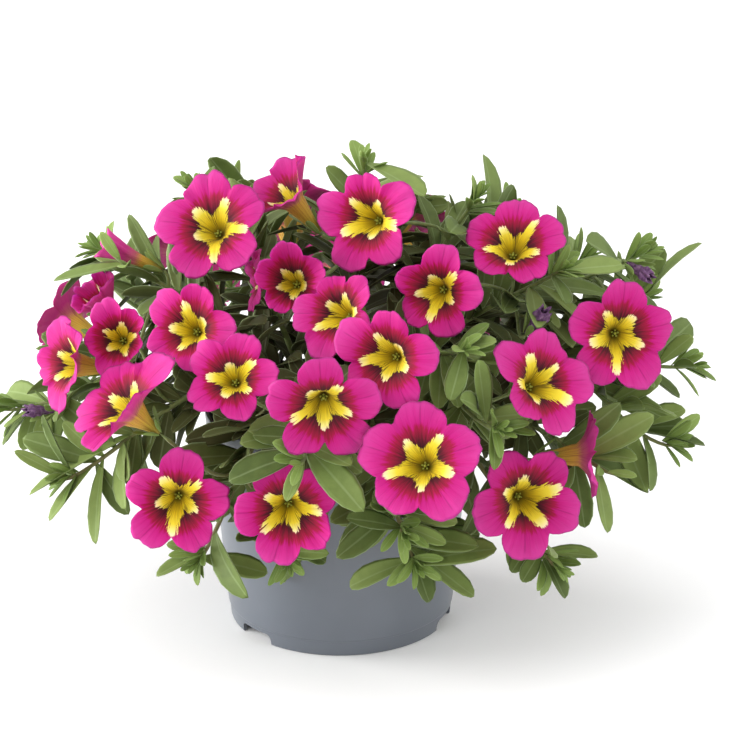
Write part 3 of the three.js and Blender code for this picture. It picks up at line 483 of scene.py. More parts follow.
class Flower(Corolla):
    """One open flower: how it is turned, and how its lobes and its star's arms differ."""

    def __init__(self, entry, draw):
        name, centre, yaw, pitch, self.roll, across, self.cleft = entry[:7]
        self.size, self.lift, self.arms = entry[7:]
        super().__init__(name, centre, yaw, pitch, tube_length, across / 2)
        self.ruffle = [3 * (draw() - 0.5) for _ in range(5)]
        if self.size is None:
            self.size = [0.95 + 0.1 * draw() for _ in range(5)]

    def rim(self, place):
        """How far the rim reaches, as a share of the radius, and how high it stands there."""
        lobe = int(place) % 5
        within = place - int(place)
        swell = math.sin(math.pi * within)
        side = (lobe + 4) % 5 if within < 0.5 else (lobe + 1) % 5
        share = 0.5 * (1 - swell) ** 2
        lift = self.lift[lobe] + self.ruffle[lobe]
        lift += (self.lift[side] + self.ruffle[side] - lift) * share
        size = self.size[lobe] + (self.size[side] - self.size[lobe]) * share
        turn = math.radians(72 * (within - 0.5))
        lobe_radius = math.sqrt((1 - self.cleft) ** 2 - (self.cleft * math.sin(turn)) ** 2)
        outline = self.cleft * math.cos(turn) + lobe_radius
        return outline * size * (1 - 0.02 * max(lift, 0)), 1.9 - 1.8 * swell + lift

    def point(self, angle, radius, height):
        """A point at an angle round the face, a radius from its middle and a height above it."""
        return self.centre + self.spoke(angle) * radius + self.out * height


size_draw = make_draw(20)
open_flowers = [Flower(entry, size_draw) for entry in flowers + far_flowers]

lobe_steps = 24
inner_rings = 16
under_rings = 7
tube_rings = 8
throat_depth = 11.6
funnel_depth = 11
funnel_from = 0.08
funnel_width = 0.2


def funnel_height(share):
    """The depth of the membrane below its face, from the throat to the rim, before it is waved."""
    if share < 0.1:
        return -9.95 - 25 * (0.1 - share)
    return -funnel_depth * math.exp(-(share - funnel_from) / funnel_width)


def corolla_rows(flower, waves):
    """Rows of points from the throat over the rim to the tube's foot, with what the pigment needs:
    share of the radius, distance from the nearest seam, reach of the star's arm, and the side."""
    count = 5 * lobe_steps
    broad = [(0.55 + 0.9 * arm) * waves.uniform(0.8, 1.2) for arm in flower.arms]
    skew = waves.uniform(-1.5, 1.5, 5)
    curl = waves.uniform(-1.6, 0.4, 5)
    dent = waves.uniform(-0.01, 0.06, 5)
    overlap = waves.uniform(0.35, 0.95, 5) * np.where(waves.uniform(0, 1, 5) < 0.5, -1, 1)
    swing = waves.uniform(0, 2 * math.pi, 6)
    rows = []
    for k in range(inner_rings + under_rings + tube_rings + 2):
        row = []
        for i in range(count):
            place = 5 * i / count
            lobe = int(place) % 5
            within = place - int(place)
            angle = math.radians(flower.roll + 72 * place)
            reach, lift = flower.rim(place)
            reach *= 1 - dent[lobe] * math.exp(-(((within - 0.5) / 0.05) ** 2))
            uneven = 0.016 * math.sin(9 * angle + swing[3])
            reach *= 1 + uneven + 0.012 * math.sin(16 * angle + swing[4])
            reach *= 1 + 0.006 * math.sin(37 * angle + swing[5])
            seam = round(place) % 5
            aside = min(within, 1 - within)
            swell = math.sin(math.pi * within)
            lift -= 1.3 * (1 - swell)
            ripple = 0.22 * math.sin(13 * angle + swing[0]) + 0.2 * math.sin(19 * angle + swing[1])
            ripple += 0.55 * math.sin(4 * angle + swing[2]) + 0.3 * math.sin(7 * angle + swing[4])
            crease = -0.5 * math.exp(-(((within - 0.5) / 0.045) ** 2))
            side = 1 if within < 0.5 else -1
            tuck = side * overlap[seam] * math.exp(-((aside / 0.1) ** 2))
            turned = skew[lobe] * math.sin(2 * math.pi * within)

            def radius_at(local):
                blend = min(max((local - 0.12) / 0.4, 0), 1)
                return flower.radius * local * (0.86 + (reach - 0.86) * blend)

            def height_at(local):
                share = radius_at(local) / flower.radius
                bent = curl[lobe] * swell * max(0, (local - 0.72) / 0.28) ** 2
                fold = (crease + turned * local ** 1.5) * local * 1.1
                edge = lift * local ** 2.2 + tuck * max(0, (local - 0.45) / 0.55)
                edge += ripple * local ** 4
                return funnel_height(share) + edge + bent + fold

            if k <= inner_rings:
                local = 0.035 + 0.965 * (k / inner_rings) ** 0.85
                radius, height, outside = radius_at(local), height_at(local), 0.0
            elif k <= inner_rings + under_rings:
                t = (k - inner_rings) / under_rings
                local = 0.995 - 0.72 * t
                radius, height, outside = radius_at(local), height_at(local) - 0.18 - 0.62 * t, 1.0
            else:
                t = (k - inner_rings - under_rings) / (tube_rings + 1)
                top = height_at(0.275) - 0.8
                radius = radius_at(0.275) * (1 - t) ** 1.6 + 1.55 * t ** 0.5 + 0.9 * (1 - t) * t
                ribs = math.cos(5 * (angle - math.radians(flower.roll)))
                radius *= 1 + 0.07 * ribs * (1 - t) * t * 2
                height, outside = top + (-tube_length - top) * t, 1.0
                local = 0.275 * (1 - 0.9 * t)
            share = radius / flower.radius if k <= inner_rings + under_rings else local * 0.9
            row.append((
                flower.point(angle, radius, height), share, aside * 2 * math.pi / 5 * share,
                flower.arms[seam], broad[seam], outside, angle,
            ))
        rows.append(row)
    return rows


def write_fields(mesh, names, values, flat):
    """Gives a mesh's corners their values for the pigment, and their places on a flat plane."""
    for name, field in zip(names, np.array(values, float).T):
        mesh.attributes.new(name, "FLOAT", "POINT").data.foreach_set("value", field.copy())
    corners = np.zeros(len(mesh.loops), dtype=int)
    mesh.loops.foreach_get("vertex_index", corners)
    plane = mesh.uv_layers.active or mesh.uv_layers.new(name="plane")
    plane.data.foreach_set("uv", flat[corners].ravel())


petal_fields = ("share", "aside", "arm", "broad", "outside", "tint")


def pull_sphere(rows, poles, tint):
    """A sphere has a corolla's make-up, two poles and rings between them: it is pulled into shape.
    Every corner brings its point, its values for the pigment, and its angle round the face."""
    count = len(rows[0])
    deselect_all()
    bpy.ops.mesh.primitive_uv_sphere_add(segments=count, ring_count=len(rows) + 1, radius=1)
    piece = bpy.context.object
    corners = []
    for corner in piece.data.vertices:
        ring = round(math.acos(max(-1, min(1, corner.co.z))) / math.pi * (len(rows) + 1))
        if ring == 0 or ring > len(rows):
            corners.append(poles[0] if ring == 0 else poles[1])
        else:
            step = round(math.atan2(corner.co.y, corner.co.x) / (2 * math.pi) * count) % count
            corners.append(rows[ring - 1][step])
        corner.co = corners[-1][0] * mm
    flat = np.array([(c[1] * math.cos(c[6]), c[1] * math.sin(c[6])) for c in corners])
    write_fields(piece.data, petal_fields, [(*c[1:6], tint) for c in corners], flat * 0.5 + 0.5)
    face_outwards()
    bpy.ops.object.shade_smooth()
    return piece


# Settings that many of a pattern's nodes share.
times, plus, minus, over, larger, times_plus = [
    {"operation": name}
    for name in ("MULTIPLY", "ADD", "SUBTRACT", "DIVIDE", "MAXIMUM", "MULTIPLY_ADD")
]
smooth = {"interpolation_type": "SMOOTHSTEP"}

# Petal tissue with its pigments: magenta lobes with fine radial veins, a yellow star along the
# seams with ragged edges and pale tips, a dark red eye between its arms and an olive throat.
# The cells give it a velvety sheen, and its back is paler.
petal, tree, shader = new_material("calibrachoa_petal")
share, aside, arm, broad, outside, tint = [
    node(tree, "Attribute", {"attribute_name": name}).outputs["Fac"] for name in petal_fields
]
centred = node(tree, "VectorMath", minus, [node(tree, "UVMap"), (0.5, 0.5, 0.0)])
spoke = node(tree, "VectorMath", {"operation": "NORMALIZE"}, [centred])
spoke = node(tree, "SeparateXYZ", inputs=[spoke])
runs = node(tree, "CombineXYZ", inputs=[spoke.outputs["X"], spoke.outputs["Y"], share])
seed = node(tree, "Math", times, [tint, 37.0])
along_veins = node(tree, "VectorMath", times, [runs, (1.0, 1.0, 0.16)])
veins, fringe, ragged, soft = [
    node(
        tree, "TexNoise", {"noise_dimensions": "4D"},
        {"Vector": space, "W": seed, "Scale": scale, "Detail": detail, "Roughness": rough},
    )
    for space, scale, detail, rough in (
        (along_veins, 13.0, 4.0, 0.65), (along_veins, 26.0, 2.0, 0.5),
        (runs, 19.0, 3.0, 0.6), (runs, 2.6, 2.0, 0.5),
    )
]

# lobes: deep magenta near the eye, lighter and pinker towards the rim
lobe_place = node(tree, "Math", times_plus, [veins, 0.36, -0.18])
lobe_place = node(tree, "Math", plus, [share, lobe_place])
lobe = node(
    tree, "ValToRGB", inputs=[lobe_place],
    stops=[(0.45, "#A8005C"), (0.58, "#AC066A"), (0.72, "#B41A76"), (0.95, "#BA3084")],
)
# one thin dark vein along the middle of every lobe, and fainter ones beside it
lobe_side = node(tree, "Math", over, [aside, share])
vein_wave = node(tree, "Math", times_plus, [soft, 0.16, lobe_side])
vein_gap = node(tree, "Math", {"operation": "PINGPONG"}, [vein_wave, 0.075])
side_vein = node(tree, "MapRange", smooth, [vein_gap, 0.0, 0.012, 0.2, 0.0])
middle_vein = node(tree, "MapRange", smooth, [lobe_side, 0.605, 0.626, 0.0, 0.5])
drawn = node(tree, "Math", larger, [side_vein, middle_vein])
vein_fade = node(tree, "MapRange", smooth, [share, 0.8, 0.98, 1.0, 0.0])
drawn = node(tree, "Math", times, [drawn, vein_fade])
lobe = node(tree, "Mix", colours, {"Factor": drawn, "A": lobe, "B": linear("#7E0450")})
# eye: a dark red patch between the arms of the star, streaked out along the veins
streak = node(tree, "Math", times_plus, [veins, 0.5, -0.25])
eye_place = node(tree, "Math", plus, [share, streak])
eye = node(
    tree, "ValToRGB", inputs=[eye_place],
    stops=[
        (0.24, "#2A0812"), (0.34, "#4C0819"), (0.44, "#780628"), (0.53, "#920436"), (0.62, "#A20052"),
    ],
)
eye_mask = node(tree, "MapRange", smooth, [eye_place, 0.52, 0.63, 1.0, 0.0])
face = node(tree, "Mix", colours, {"Factor": eye_mask, "A": lobe, "B": eye})
# star: half as wide as its curve says, along each seam, with a few teeth and a toothed base
arm_place = node(tree, "Math", over, [share, arm])
half_width = node(tree, "FloatCurve", inputs={"Value": arm_place})
curve = half_width.mapping.curves[0]
curve.points[0].location = (0.0, 0.085)
curve.points[-1].location = (1.0, 0.03)
for along, half in ((0.3, 0.08), (0.6, 0.084), (0.82, 0.076), (0.94, 0.055)):
    curve.points.new(along, half)
half_width.mapping.update()
half_width = node(tree, "Math", times, [half_width, broad])
disc = node(tree, "MapRange", smooth, [share, 0.17, 0.38, 0.1, 0.0])
edge = node(tree, "Math", plus, [half_width, disc])
for noise, strength in ((ragged, 0.1), (veins, 0.32)):
    rag = node(tree, "Math", times_plus, [noise, strength, -strength / 2])
    edge = node(tree, "Math", plus, [edge, rag])
edge = node(tree, "Math", minus, [edge, aside])
star_mask = node(tree, "MapRange", smooth, [edge, -0.006, 0.01, 0.0, 1.0])
tip_place = node(tree, "Math", times_plus, [fringe, 0.3, -0.15])
tip_place = node(tree, "Math", plus, [arm_place, tip_place])
inside_arm = node(tree, "MapRange", smooth, [tip_place, 0.95, 1.01, 1.0, 0.0])
star_mask = node(tree, "Math", times, [star_mask, inside_arm])
star = node(
    tree, "ValToRGB", inputs=[arm_place],
    stops=[
        (0.0, "#3E3606"), (0.15, "#746408"), (0.26, "#A88E0C"), (0.4, "#CEB216"),
        (0.66, "#DEC834"), (0.84, "#E8DA80"), (0.97, "#EED6B0"),
    ],
)
# dark veins that run out of the throat over the base of the star
vein_line = node(tree, "MapRange", smooth, [fringe, 0.49, 0.56, 0.0, 0.9])
vein_reach = node(tree, "MapRange", smooth, [share, 0.2, 0.42, 1.0, 0.0])
between_arms = node(tree, "MapRange", smooth, [aside, 0.02, 0.1, 0.25, 1.0])
vein_mask = node(tree, "Math", times, [vein_line, vein_reach])
vein_mask = node(tree, "Math", times, [vein_mask, between_arms])
star = node(tree, "Mix", colours, {"Factor": vein_mask, "A": star, "B": linear("#38260A")})
face = node(tree, "Mix", colours, {"Factor": star_mask, "A": face, "B": star})
# back: paler pink lobes on a golden tube that is streaked brown red along its veins
back_place = node(tree, "Math", times_plus, [fringe, 0.16, share])
back = node(
    tree, "ValToRGB", inputs=[back_place],
    stops=[
        (0.1, "#87863A"), (0.17, "#B29C34"), (0.3, "#BE9236"), (0.4, "#AC5660"), (0.6, "#B42C78"),
        (0.9, "#C03C88"),
    ],
)
back_line = node(tree, "MapRange", smooth, [fringe, 0.5, 0.62, 0.0, 0.5])
back_reach = node(tree, "MapRange", smooth, [share, 0.2, 0.6, 1.0, 0.15])
back_mask = node(tree, "Math", times, [back_line, back_reach])
back = node(tree, "Mix", colours, {"Factor": back_mask, "A": back, "B": linear("#6E2A22")})
both = node(tree, "Mix", colours, {"Factor": outside, "A": face, "B": back})
shade = node(tree, "Math", times_plus, [soft, 0.24, 0.88])
shade_of_flower = node(tree, "Math", times_plus, [tint, 0.12, -0.06])
shade = node(tree, "Math", plus, [shade, shade_of_flower])
toned = node(tree, "HueSaturation", inputs={"Value": shade, "Color": both})
relief = node(tree, "Math", times_plus, [veins, 0.7, fringe])
bump = node(tree, "Bump", inputs={"Strength": 0.3, "Distance": 0.3 * mm, "Height": relief})
feed(tree, shader, {
    "Base Color": toned, "Normal": bump, "Roughness": 0.68, "IOR": 1.38, "Specular IOR Level": 0.3,
    "Sheen Weight": 0.04, "Sheen Roughness": 0.5, "Sheen Tint": linear("#F4B4DA"),
    "Subsurface Weight": 0.12, "Subsurface Radius": (1.0, 0.25, 0.5), "Subsurface Scale": 1.2 * mm,
})

for number, flower in enumerate(open_flowers):
    waves = np.random.default_rng(500 + number)
    throat = (flower.point(0, 0, -throat_depth - 0.2), 0.01, 0.0, 0.6, 1.0, 0.0, 0.0)
    foot = (flower.point(0, 0, -tube_length), 0.01, 0.0, 0.6, 1.0, 1.0, 0.0)
    piece = pull_sphere(corolla_rows(flower, waves), (throat, foot), waves.uniform(0, 1))
    piece.name = f"corolla_{flower.name}"
    piece.data.materials.append(petal)
    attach(piece, "root")
    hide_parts(f"bloom_{flower.name}")

# ------------ stigma and anthers
# Deep in each throat stands a thread with a round sticky head, among five shorter ones that end
# in pollen. They are clubs of one shape, in soft green and yellow tissue.
head_height = 3.4
head_radius = 0.65
anther_radius = 0.42
thread_radius = 0.2
anther_reach = 1.35


def ball_shape(segments, rings):
    """A sphere that is pulled into shape again and again: its corners and faces, how far each
    corner is on the way between the poles, and its spoke away from that line."""
    deselect_all()
    bpy.ops.mesh.primitive_uv_sphere_add(segments=segments, ring_count=rings, radius=1)
    corners, faces = take_shape(bpy.context.object)
    rim = np.sqrt(np.maximum(1 - corners[:, 2] ** 2, 1e-6))[:, None]
    spokes = np.where(rim > 0.01, corners[:, :2] / rim, 0)
    return corners, faces, np.clip((1 - corners[:, 2]) / 2, 0, 1), spokes


def new_piece(name, corners, faces, material):
    """A smooth piece of corners that are given in millimetres."""
    mesh = bpy.data.meshes.new(name)
    mesh.from_pydata((corners * mm).tolist(), [], faces)
    mesh.polygons.foreach_set("use_smooth", [True] * len(faces))
    mesh.materials.append(material)
    piece = bpy.data.objects.new(name, mesh)
    bpy.context.scene.collection.objects.link(piece)
    return piece


club_corners, club_faces, club_along, club_spokes = ball_shape(6, 9)
# Pollen and stigma: soft yellow green, matt and a little moist.
pollen, tree, shader = new_material("pollen_and_stigma")
feed(tree, shader, {"Base Color": linear("#8E9434"), "Roughness": 0.7})

for flower in open_flowers:
    corners = []
    faces = []
    for i in range(6):
        angle = math.radians(72 * i + flower.roll + 36)
        head = anther_radius if i else head_radius
        thick = thread_radius + (head - thread_radius) * np.exp(-(((club_along - 0.85) / 0.14) ** 2))
        thick *= np.minimum(1, 8 * (1 - club_along)) * np.minimum(1, 8 * club_along)
        reach = (anther_reach if i else 0.0) * club_along
        right = reach * math.cos(angle) + club_spokes[:, 0] * thick
        up = reach * math.sin(angle) + club_spokes[:, 1] * thick
        height = head_height * (0.8 if i else 1.0) * club_along - throat_depth
        faces += [[index + len(club_corners) * i for index in face] for face in club_faces]
        own_frame = [flower.right, flower.up, flower.out]
        corners.append(flower.centre + np.column_stack([right, up, height]) @ own_frame)
    piece = new_piece(f"stigma_{flower.name}", np.vstack(corners), faces, pollen)
    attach(piece, "root")
    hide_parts(f"bloom_{flower.name}")

# ------------ leafy stems
# Green stems rise from the soil, arch over the rim and branch once. They carry oblong leaves
# with a folded midrib, rosettes of young leaves at their tips, and the flowers' stalks with
# calyces of five narrow sepals. All of a stem is grown together, as two pieces: its leaves and
# sepals, and its shoots and stalks.
root_height = 70.4
main_steps = 6
side_steps = 4
stem_radius = 1.5
shoot_radius = 1.1
stalk_radius = 0.8
tip_radius = 0.7
gap = 0.3
match_distance = 0.04
stalk_trials = 140
stalk_matches = 5
leaf_length = 31
leaf_width = 10.6
tip_leaf_length = 16
tip_leaf_width = 5.4
golden_angle = 137.5
stems = [
    # where it stands in the soil, where its tip ends, the tip of its side shoot
    ((2, -3), (10, -9, 192), (30, 12, 166)),
    ((13, -6), (52, -28, 183), (66, -2, 168)),
    ((25, -3), (117, -17, 157), (120, 12, 128)),
    ((18, -12), (84, -50, 162), None),
    ((36, -4), (137, -16, 110), (128, -34, 84)),
    ((30, -17), (103, -62, 84), None),
    ((22, -27), (83, -66, 47), None),
    ((7, -35), (24, -90, 72), (29, -73, 52)),
    ((10, -18), (46, -92, 146), (58, -101, 118)),
    ((-6, -25), (-13, -112, 109), None),
    ((-17, -31), (-53, -62, 49), (-19, -66, 50)),
    ((-33, -14), (-106, -42, 73), None),
    ((-37, -4), (-131, -12, 90), (-98, 22, 94)),
    ((-17, -11), (-84, -42, 164), None),
    ((-12, -2), (-56, -13, 182), (-34, 20, 160)),
    ((-24, 14), (-98, 44, 138), (-92, 62, 96)),
    ((-10, 16), (-44, 66, 158), (-48, 92, 104)),
    ((4, 24), (8, 100, 132), (-2, 98, 72)),
    ((14, 14), (60, 54, 144), (56, 90, 100)),
    ((27, 13), (100, 44, 134), (98, 60, 90)),
]
# The leaves that stand out: the stem that carries each, its tip and its width.
plain_leaves = [
    (1, (32, -33, 184), 11), (1, (-5, -16, 190), 9), (2, (41, -51, 176), 10), (2, (66, -13, 182), 9),
    (3, (92, -34, 167), 11), (3, (141, 14, 150), 9), (4, (106, -35, 158), 9), (4, (83, -67, 154), 8),
    (5, (134, -25, 126), 7), (5, (133, -23, 95), 10), (5, (140, -33, 84), 9), (6, (112, -56, 88), 10),
    (6, (118, -43, 69), 11), (7, (98, -60, 50), 8), (7, (85, -72, 38), 9), (7, (65, -62, 46), 7),
    (8, (1, -81, 59), 11), (8, (3, -99, 83), 9), (8, (4, -66, 40), 9), (8, (34, -71, 36), 10),
    (8, (34, -62, 44), 10), (8, (59, -75, 60), 12), (8, (51, -70, 38), 10), (9, (35, -96, 147), 8),
    (9, (57, -90, 148), 8), (9, (50, -97, 144), 8), (9, (40, -107, 132), 8), (9, (71, -96, 123), 9),
    (10, (-39, -107, 101), 11), (10, (5, -114, 110), 9), (10, (-18, -118, 98), 6),
    (11, (-69, -65, 44), 8), (11, (-38, -75, 63), 8), (11, (-27, -62, 44), 10),
    (11, (-5, -59, 47), 9), (12, (-118, -46, 69), 9), (12, (-110, -52, 61), 8),
    (12, (-92, -58, 54), 7), (12, (-80, -48, 62), 8), (13, (-143, -16, 94), 8),
    (13, (-128, -29, 90), 7), (14, (-107, -33, 151), 9), (14, (-83, -49, 161), 8),
    (14, (-79, -20, 173), 7), (15, (-63, -24, 179), 6), (15, (-48, 2, 185), 7),
    (5, (131, -19, 98), 10), (6, (100, -74, 66), 8), (12, (-77, -38, 76), 10),
    (12, (-112, -40, 100), 6), (13, (-131, -16, 77), 5),
]
# A stem may be bent aside and raised, and a leaf turned round its shoot, to stand clear.
sways = [
    (0, 0), (7, 0), (-7, 0), (0, 9), (0, -9), (13, 5), (-13, 5), (13, -8), (-13, -8), (20, 0),
    (-20, 0), (0, 18), (20, 14), (-20, 14), (27, 0), (-27, 0), (27, 18), (-27, 18), (34, 8), (-34, 8),
]
leaf_turns = (0, 40, -40, 80, -80, 130, 180)
upwards = np.array([0.0, 0.0, 1.0])
heart = np.array([0.0, 0.0, 92.0])


def crossed(first, second):
    """The direction square to two others."""
    return unit(np.cross(first, second))


def arc_point(handles, t):
    s = 1 - t
    return (handles[0] * s ** 3 + handles[1] * 3 * s * s * t
            + handles[2] * 3 * s * t * t + handles[3] * t ** 3)


def arc_direction(handles, t):
    s = 1 - t
    return unit((handles[1] - handles[0]) * s * s + (handles[2] - handles[1]) * 2 * s * t
                + (handles[3] - handles[2]) * t * t)


def on_shoot(shoot, place):
    """A point on a shoot's axis, which runs in straight steps, at a place from 0 to 1."""
    handles, steps = shoot
    step = min(int(place * steps), steps - 1)
    lower = arc_point(handles, step / steps)
    return lower + (arc_point(handles, (step + 1) / steps) - lower) * (place * steps - step)


def stick_rings(handles, sides, steps, thick, thin):
    """Rings of points round an arc, thick at its start and thin at its end."""
    reference = crossed(arc_direction(handles, 0.02), arc_direction(handles, 0.98))
    turns = np.arange(sides) * 2 * math.pi / sides
    rings = []
    for k in range(steps + 1):
        t = k / steps
        direction = arc_direction(handles, t)
        across = crossed(direction, reference)
        other = crossed(direction, across)
        spokes = np.outer(np.cos(turns), across) + np.outer(np.sin(turns), other)
        rings.append(arc_point(handles, t) + spokes * (thick + (thin - thick) * t))
    return rings


def corners_of(name):
    """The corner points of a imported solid, in millimetres."""
    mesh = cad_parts[name].data
    places = np.zeros(len(mesh.vertices) * 3)
    mesh.vertices.foreach_get("co", places)
    return places.reshape(-1, 3) / mm


def found_in(corners, points):
    """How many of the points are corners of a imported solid."""
    apart = np.linalg.norm(points[:, None, :] - corners[None, :, :], axis=2).min(axis=1)
    return int((apart < match_distance).sum())


def best_fit(trials, signature, corners):
    """Of several ways to grow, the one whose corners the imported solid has, or None."""
    best, most = None, 0
    for trial in trials:
        found = found_in(corners, signature(trial))
        if found > most:
            best, most = trial, found
    return best


def stem_handles(entry, sway):
    tip = np.array(entry[1], float)
    root = np.array([*entry[0], root_height], float)
    outward = unit(np.array([tip[0], tip[1], 0.0]))
    across = np.array([-outward[1], outward[0], 0.0])
    lift = min(max(86 - 0.22 * tip[2], 44), 78) + sway[1]
    run = 0.34 * np.linalg.norm(tip - root)
    bend = tip - unit(tip - heart) * run + across * sway[0] + upwards * 0.35 * sway[1]
    return [root, root + upwards * lift, bend, tip]


def side_handles(main, tip_place, sway):
    start = on_shoot(main, 0.5)
    leave = arc_direction(main[0], 0.5)
    tip = np.array(tip_place, float)
    run = 0.36 * np.linalg.norm(tip - start)
    last = unit(tip - heart)
    across = crossed(last, leave)
    return [
        start,
        start + leave * run + across * 0.5 * sway[0],
        tip - last * run + across * sway[0] + upwards * sway[1],
        tip,
    ]


class Plant:
    """One leafy stem with its side shoot; its leaves and stalks are found in its solid."""

    def __init__(self, number, entry):
        self.number = number
        self.name = f"stem_{number:02d}"
        self.turn = 67 * (number - 1)
        self.corners = corners_of(self.name)
        self.shoots = []
        self.leaves = []
        self.stalks = []
        self.find_shoot([stem_handles(entry, sway) for sway in sways], main_steps, stem_radius)
        if entry[2]:
            trials = [side_handles(self.shoots[0], entry[2], sway) for sway in sways]
            self.find_shoot(trials, side_steps, shoot_radius)

    def find_shoot(self, trials, steps, radius):
        """Keeps the way of growing a shoot that its solid shows."""
        def signature(handles):
            return np.vstack(stick_rings(handles, 4, steps, radius, tip_radius)[1:])

        self.shoots.append((best_fit(trials, signature, self.corners) or trials[0], steps))


def blade(root, direction, normal, length, width, bow, small=False):
    """A leaf: where it starts, how it points and faces, and its measures."""
    return {
        "root": root, "direction": direction, "normal": normal, "length": length, "width": width,
        "bow": bow, "small": small,
    }


def turned_up(direction, normal):
    """A blade turns its face to the light: its normal leans up as far as its direction lets it."""
    lit = normal + upwards * 1.2
    return unit(lit - direction * lit.dot(direction))


def leaf_on(shoot, place, small, turn, open_angle, length, width, bow):
    """A leaf that leaves its shoot at a place, turned round it and opened away from its tip."""
    forward = arc_direction(shoot[0], place)
    reference = crossed(forward, np.array([0.3, -0.2, 0.93]))
    other = crossed(forward, reference)
    spoke = reference * math.cos(math.radians(turn)) + other * math.sin(math.radians(turn))
    outward = unit(np.array([forward[0], forward[1], 0.35]))
    direction = unit(forward * math.cos(math.radians(open_angle))
                     + spoke * math.sin(math.radians(open_angle)) + outward * 0.3)
    normal = turned_up(direction, crossed(crossed(direction, forward), direction))
    return blade(on_shoot(shoot, place), direction, normal, length, width, bow, small)


def leaves_along(shoot, big, small_count, turn_of_shoot, draw):
    """For each leaf of a shoot, big ones first, the ways it may stand."""
    for i in range(big + small_count):
        small = i >= big
        nth = i - big if small else i
        share = nth / small_count if small else (nth + 0.5) / big
        place = 0.93 + 0.07 * share if small else 0.5 + 0.4 * share
        open_angle = 66 - 44 * share if small else 62 + 16 * (draw() - 0.5)
        scale = (1 - 0.4 * share if small else 1) * (0.84 + 0.32 * draw())
        twist = golden_angle * i + 40 * (draw() - 0.5) + turn_of_shoot
        bow = (0.05 if small else 0.1) + 0.14 * draw()
        length = (tip_leaf_length if small else leaf_length) * scale
        width = (tip_leaf_width if small else leaf_width) * scale
        yield [
            leaf_on(shoot, place, small, twist + turn, open_angle - 3 * k,
                    length * (1 - 0.05 * k), width * (1 - 0.05 * k), bow)
            for k, turn in enumerate(leaf_turns)
        ]


def leaves_to(shoots, tip, width):
    """The ways a leaf with a given tip may stand on its shoots."""
    end = np.array(tip, float)
    outward = unit(np.array([end[0], end[1], 0.0]))
    trials = []
    for shoot in shoots:
        for k in range(21):
            root = on_shoot(shoot, 0.3 + 0.034 * k)
            direction = unit(end - root)
            length = np.linalg.norm(end - root)
            trials.append(blade(root, direction, turned_up(direction, outward), length, width, 0))
    return trials


def leaf_corners(leaf):
    """The corners that a leaf's solid shows: both edges at its stations."""
    side = crossed(leaf["direction"], leaf["normal"])
    corners = []
    for station, share in [(0.5, 1)] if leaf["small"] else [(0.34, 0.95), (0.72, 0.88)]:
        middle = leaf_point(leaf, station)
        half = side * leaf["width"] * share / 2
        corners += [middle + half, middle - half]
    return np.array(corners)


def leaf_point(leaf, s):
    straight = leaf["root"] + leaf["direction"] * leaf["length"] * s
    return straight - leaf["normal"] * leaf["bow"] * leaf["length"] * s * s


def stalks_for(flower, plants):
    """The ways a flower's stalk may run to its seat, from every shoot near it."""
    seat = flower.centre - flower.out * (flower.depth + gap)
    aim = seat - flower.out * 8
    starts = []
    for plant in plants:
        for number, shoot in enumerate(plant.shoots):
            for i in range(12):
                place = (0.37 if number == 0 else 0.2) + 0.05 * i
                start = on_shoot(shoot, place)
                leave = arc_direction(shoot[0], place)
                starts.append((np.linalg.norm(start - aim), plant, start, leave))
    for _, plant, start, leave in sorted(starts, key=lambda one: one[0])[:stalk_trials]:
        run = 0.36 * np.linalg.norm(seat - start)
        away = unit(leave + unit(seat - start))
        yield plant, [start, start + away * run, seat - flower.out * (run + 1.3), seat]


# The corollas that aren't open: name, middle, yaw, pitch, length, radius and flare of the mouth.
closed_flowers = [
    Corolla("bud", (-88, -34, 166), -89, 26, 24, 4.6, 1.35),
    Corolla("wilted_1", (76, -62, 150), 60, 55, 13, 3.4, 0.8),
    Corolla("wilted_2", (117, -33, 152), 45, -14, 12, 3.2, 0.7),
    Corolla("wilted_3", (-119, -37, 100), -55, 11, 12, 3.0, 0.8),
]
plants = [Plant(i + 1, entry) for i, entry in enumerate(stems)]
for flower in open_flowers + closed_flowers:
    ways = list(stalks_for(flower, plants))
    found = ways[0]
    for plant, handles in ways:
        rings = np.vstack(stick_rings(handles, 4, 3, stalk_radius, stalk_radius)[1:3])
        if found_in(plant.corners, rings) >= stalk_matches:
            found = (plant, handles)
            break
    found[0].stalks.append((flower, found[1]))
for stem, tip, width in plain_leaves:
    plant = plants[stem - 1]
    leaf = best_fit(leaves_to(plant.shoots, tip, width), leaf_corners, plant.corners)
    if leaf:
        plant.leaves.append(leaf)
for plant in plants:
    draw = make_draw(900 + plant.turn)
    for number, shoot in enumerate(plant.shoots):
        for trials in leaves_along(shoot, 3 if number == 0 else 2, 2, plant.turn, draw):
            leaf = best_fit(trials, leaf_corners, plant.corners)
            if leaf:
                plant.leaves.append(leaf)

# More leaves than the solids need fill the plant: along its shoots, and in rosettes at their tips.
crown_low, crown_high = np.array(cad_box) / mm
centres = np.array([flower.centre for flower in open_flowers])
outs = np.array([flower.out for flower in open_flowers])
radii = np.array([flower.radius for flower in open_flowers])
crown_middle = np.array([4.0, 0.0, 110.0])
crown_reach = np.array([124.0, 104.0, 72.0])
to_viewer = np.array([0.0, -math.cos(view_pitch), math.sin(view_pitch)])
bud = closed_flowers[0]
bud_line = [bud.centre - bud.out * bud.depth * share for share in (-0.1, 0.3, 0.7)]
bud_clearance = 6.5
rim_zone = (46, 58)
face_clearance = 1.6
face_view = 16
tube_share = 0.16
tube_zone = (-24, 2)


def hides_bud(points):
    """Whether points of a leaf stand close before the furled corolla."""
    for middle in bud_line:
        apart = points - middle
        before = apart @ to_viewer
        beside = np.linalg.norm(apart - before[:, None] * to_viewer, axis=1)
        if ((before > -4) & (beside < bud_clearance)).any():
            return True
    return False


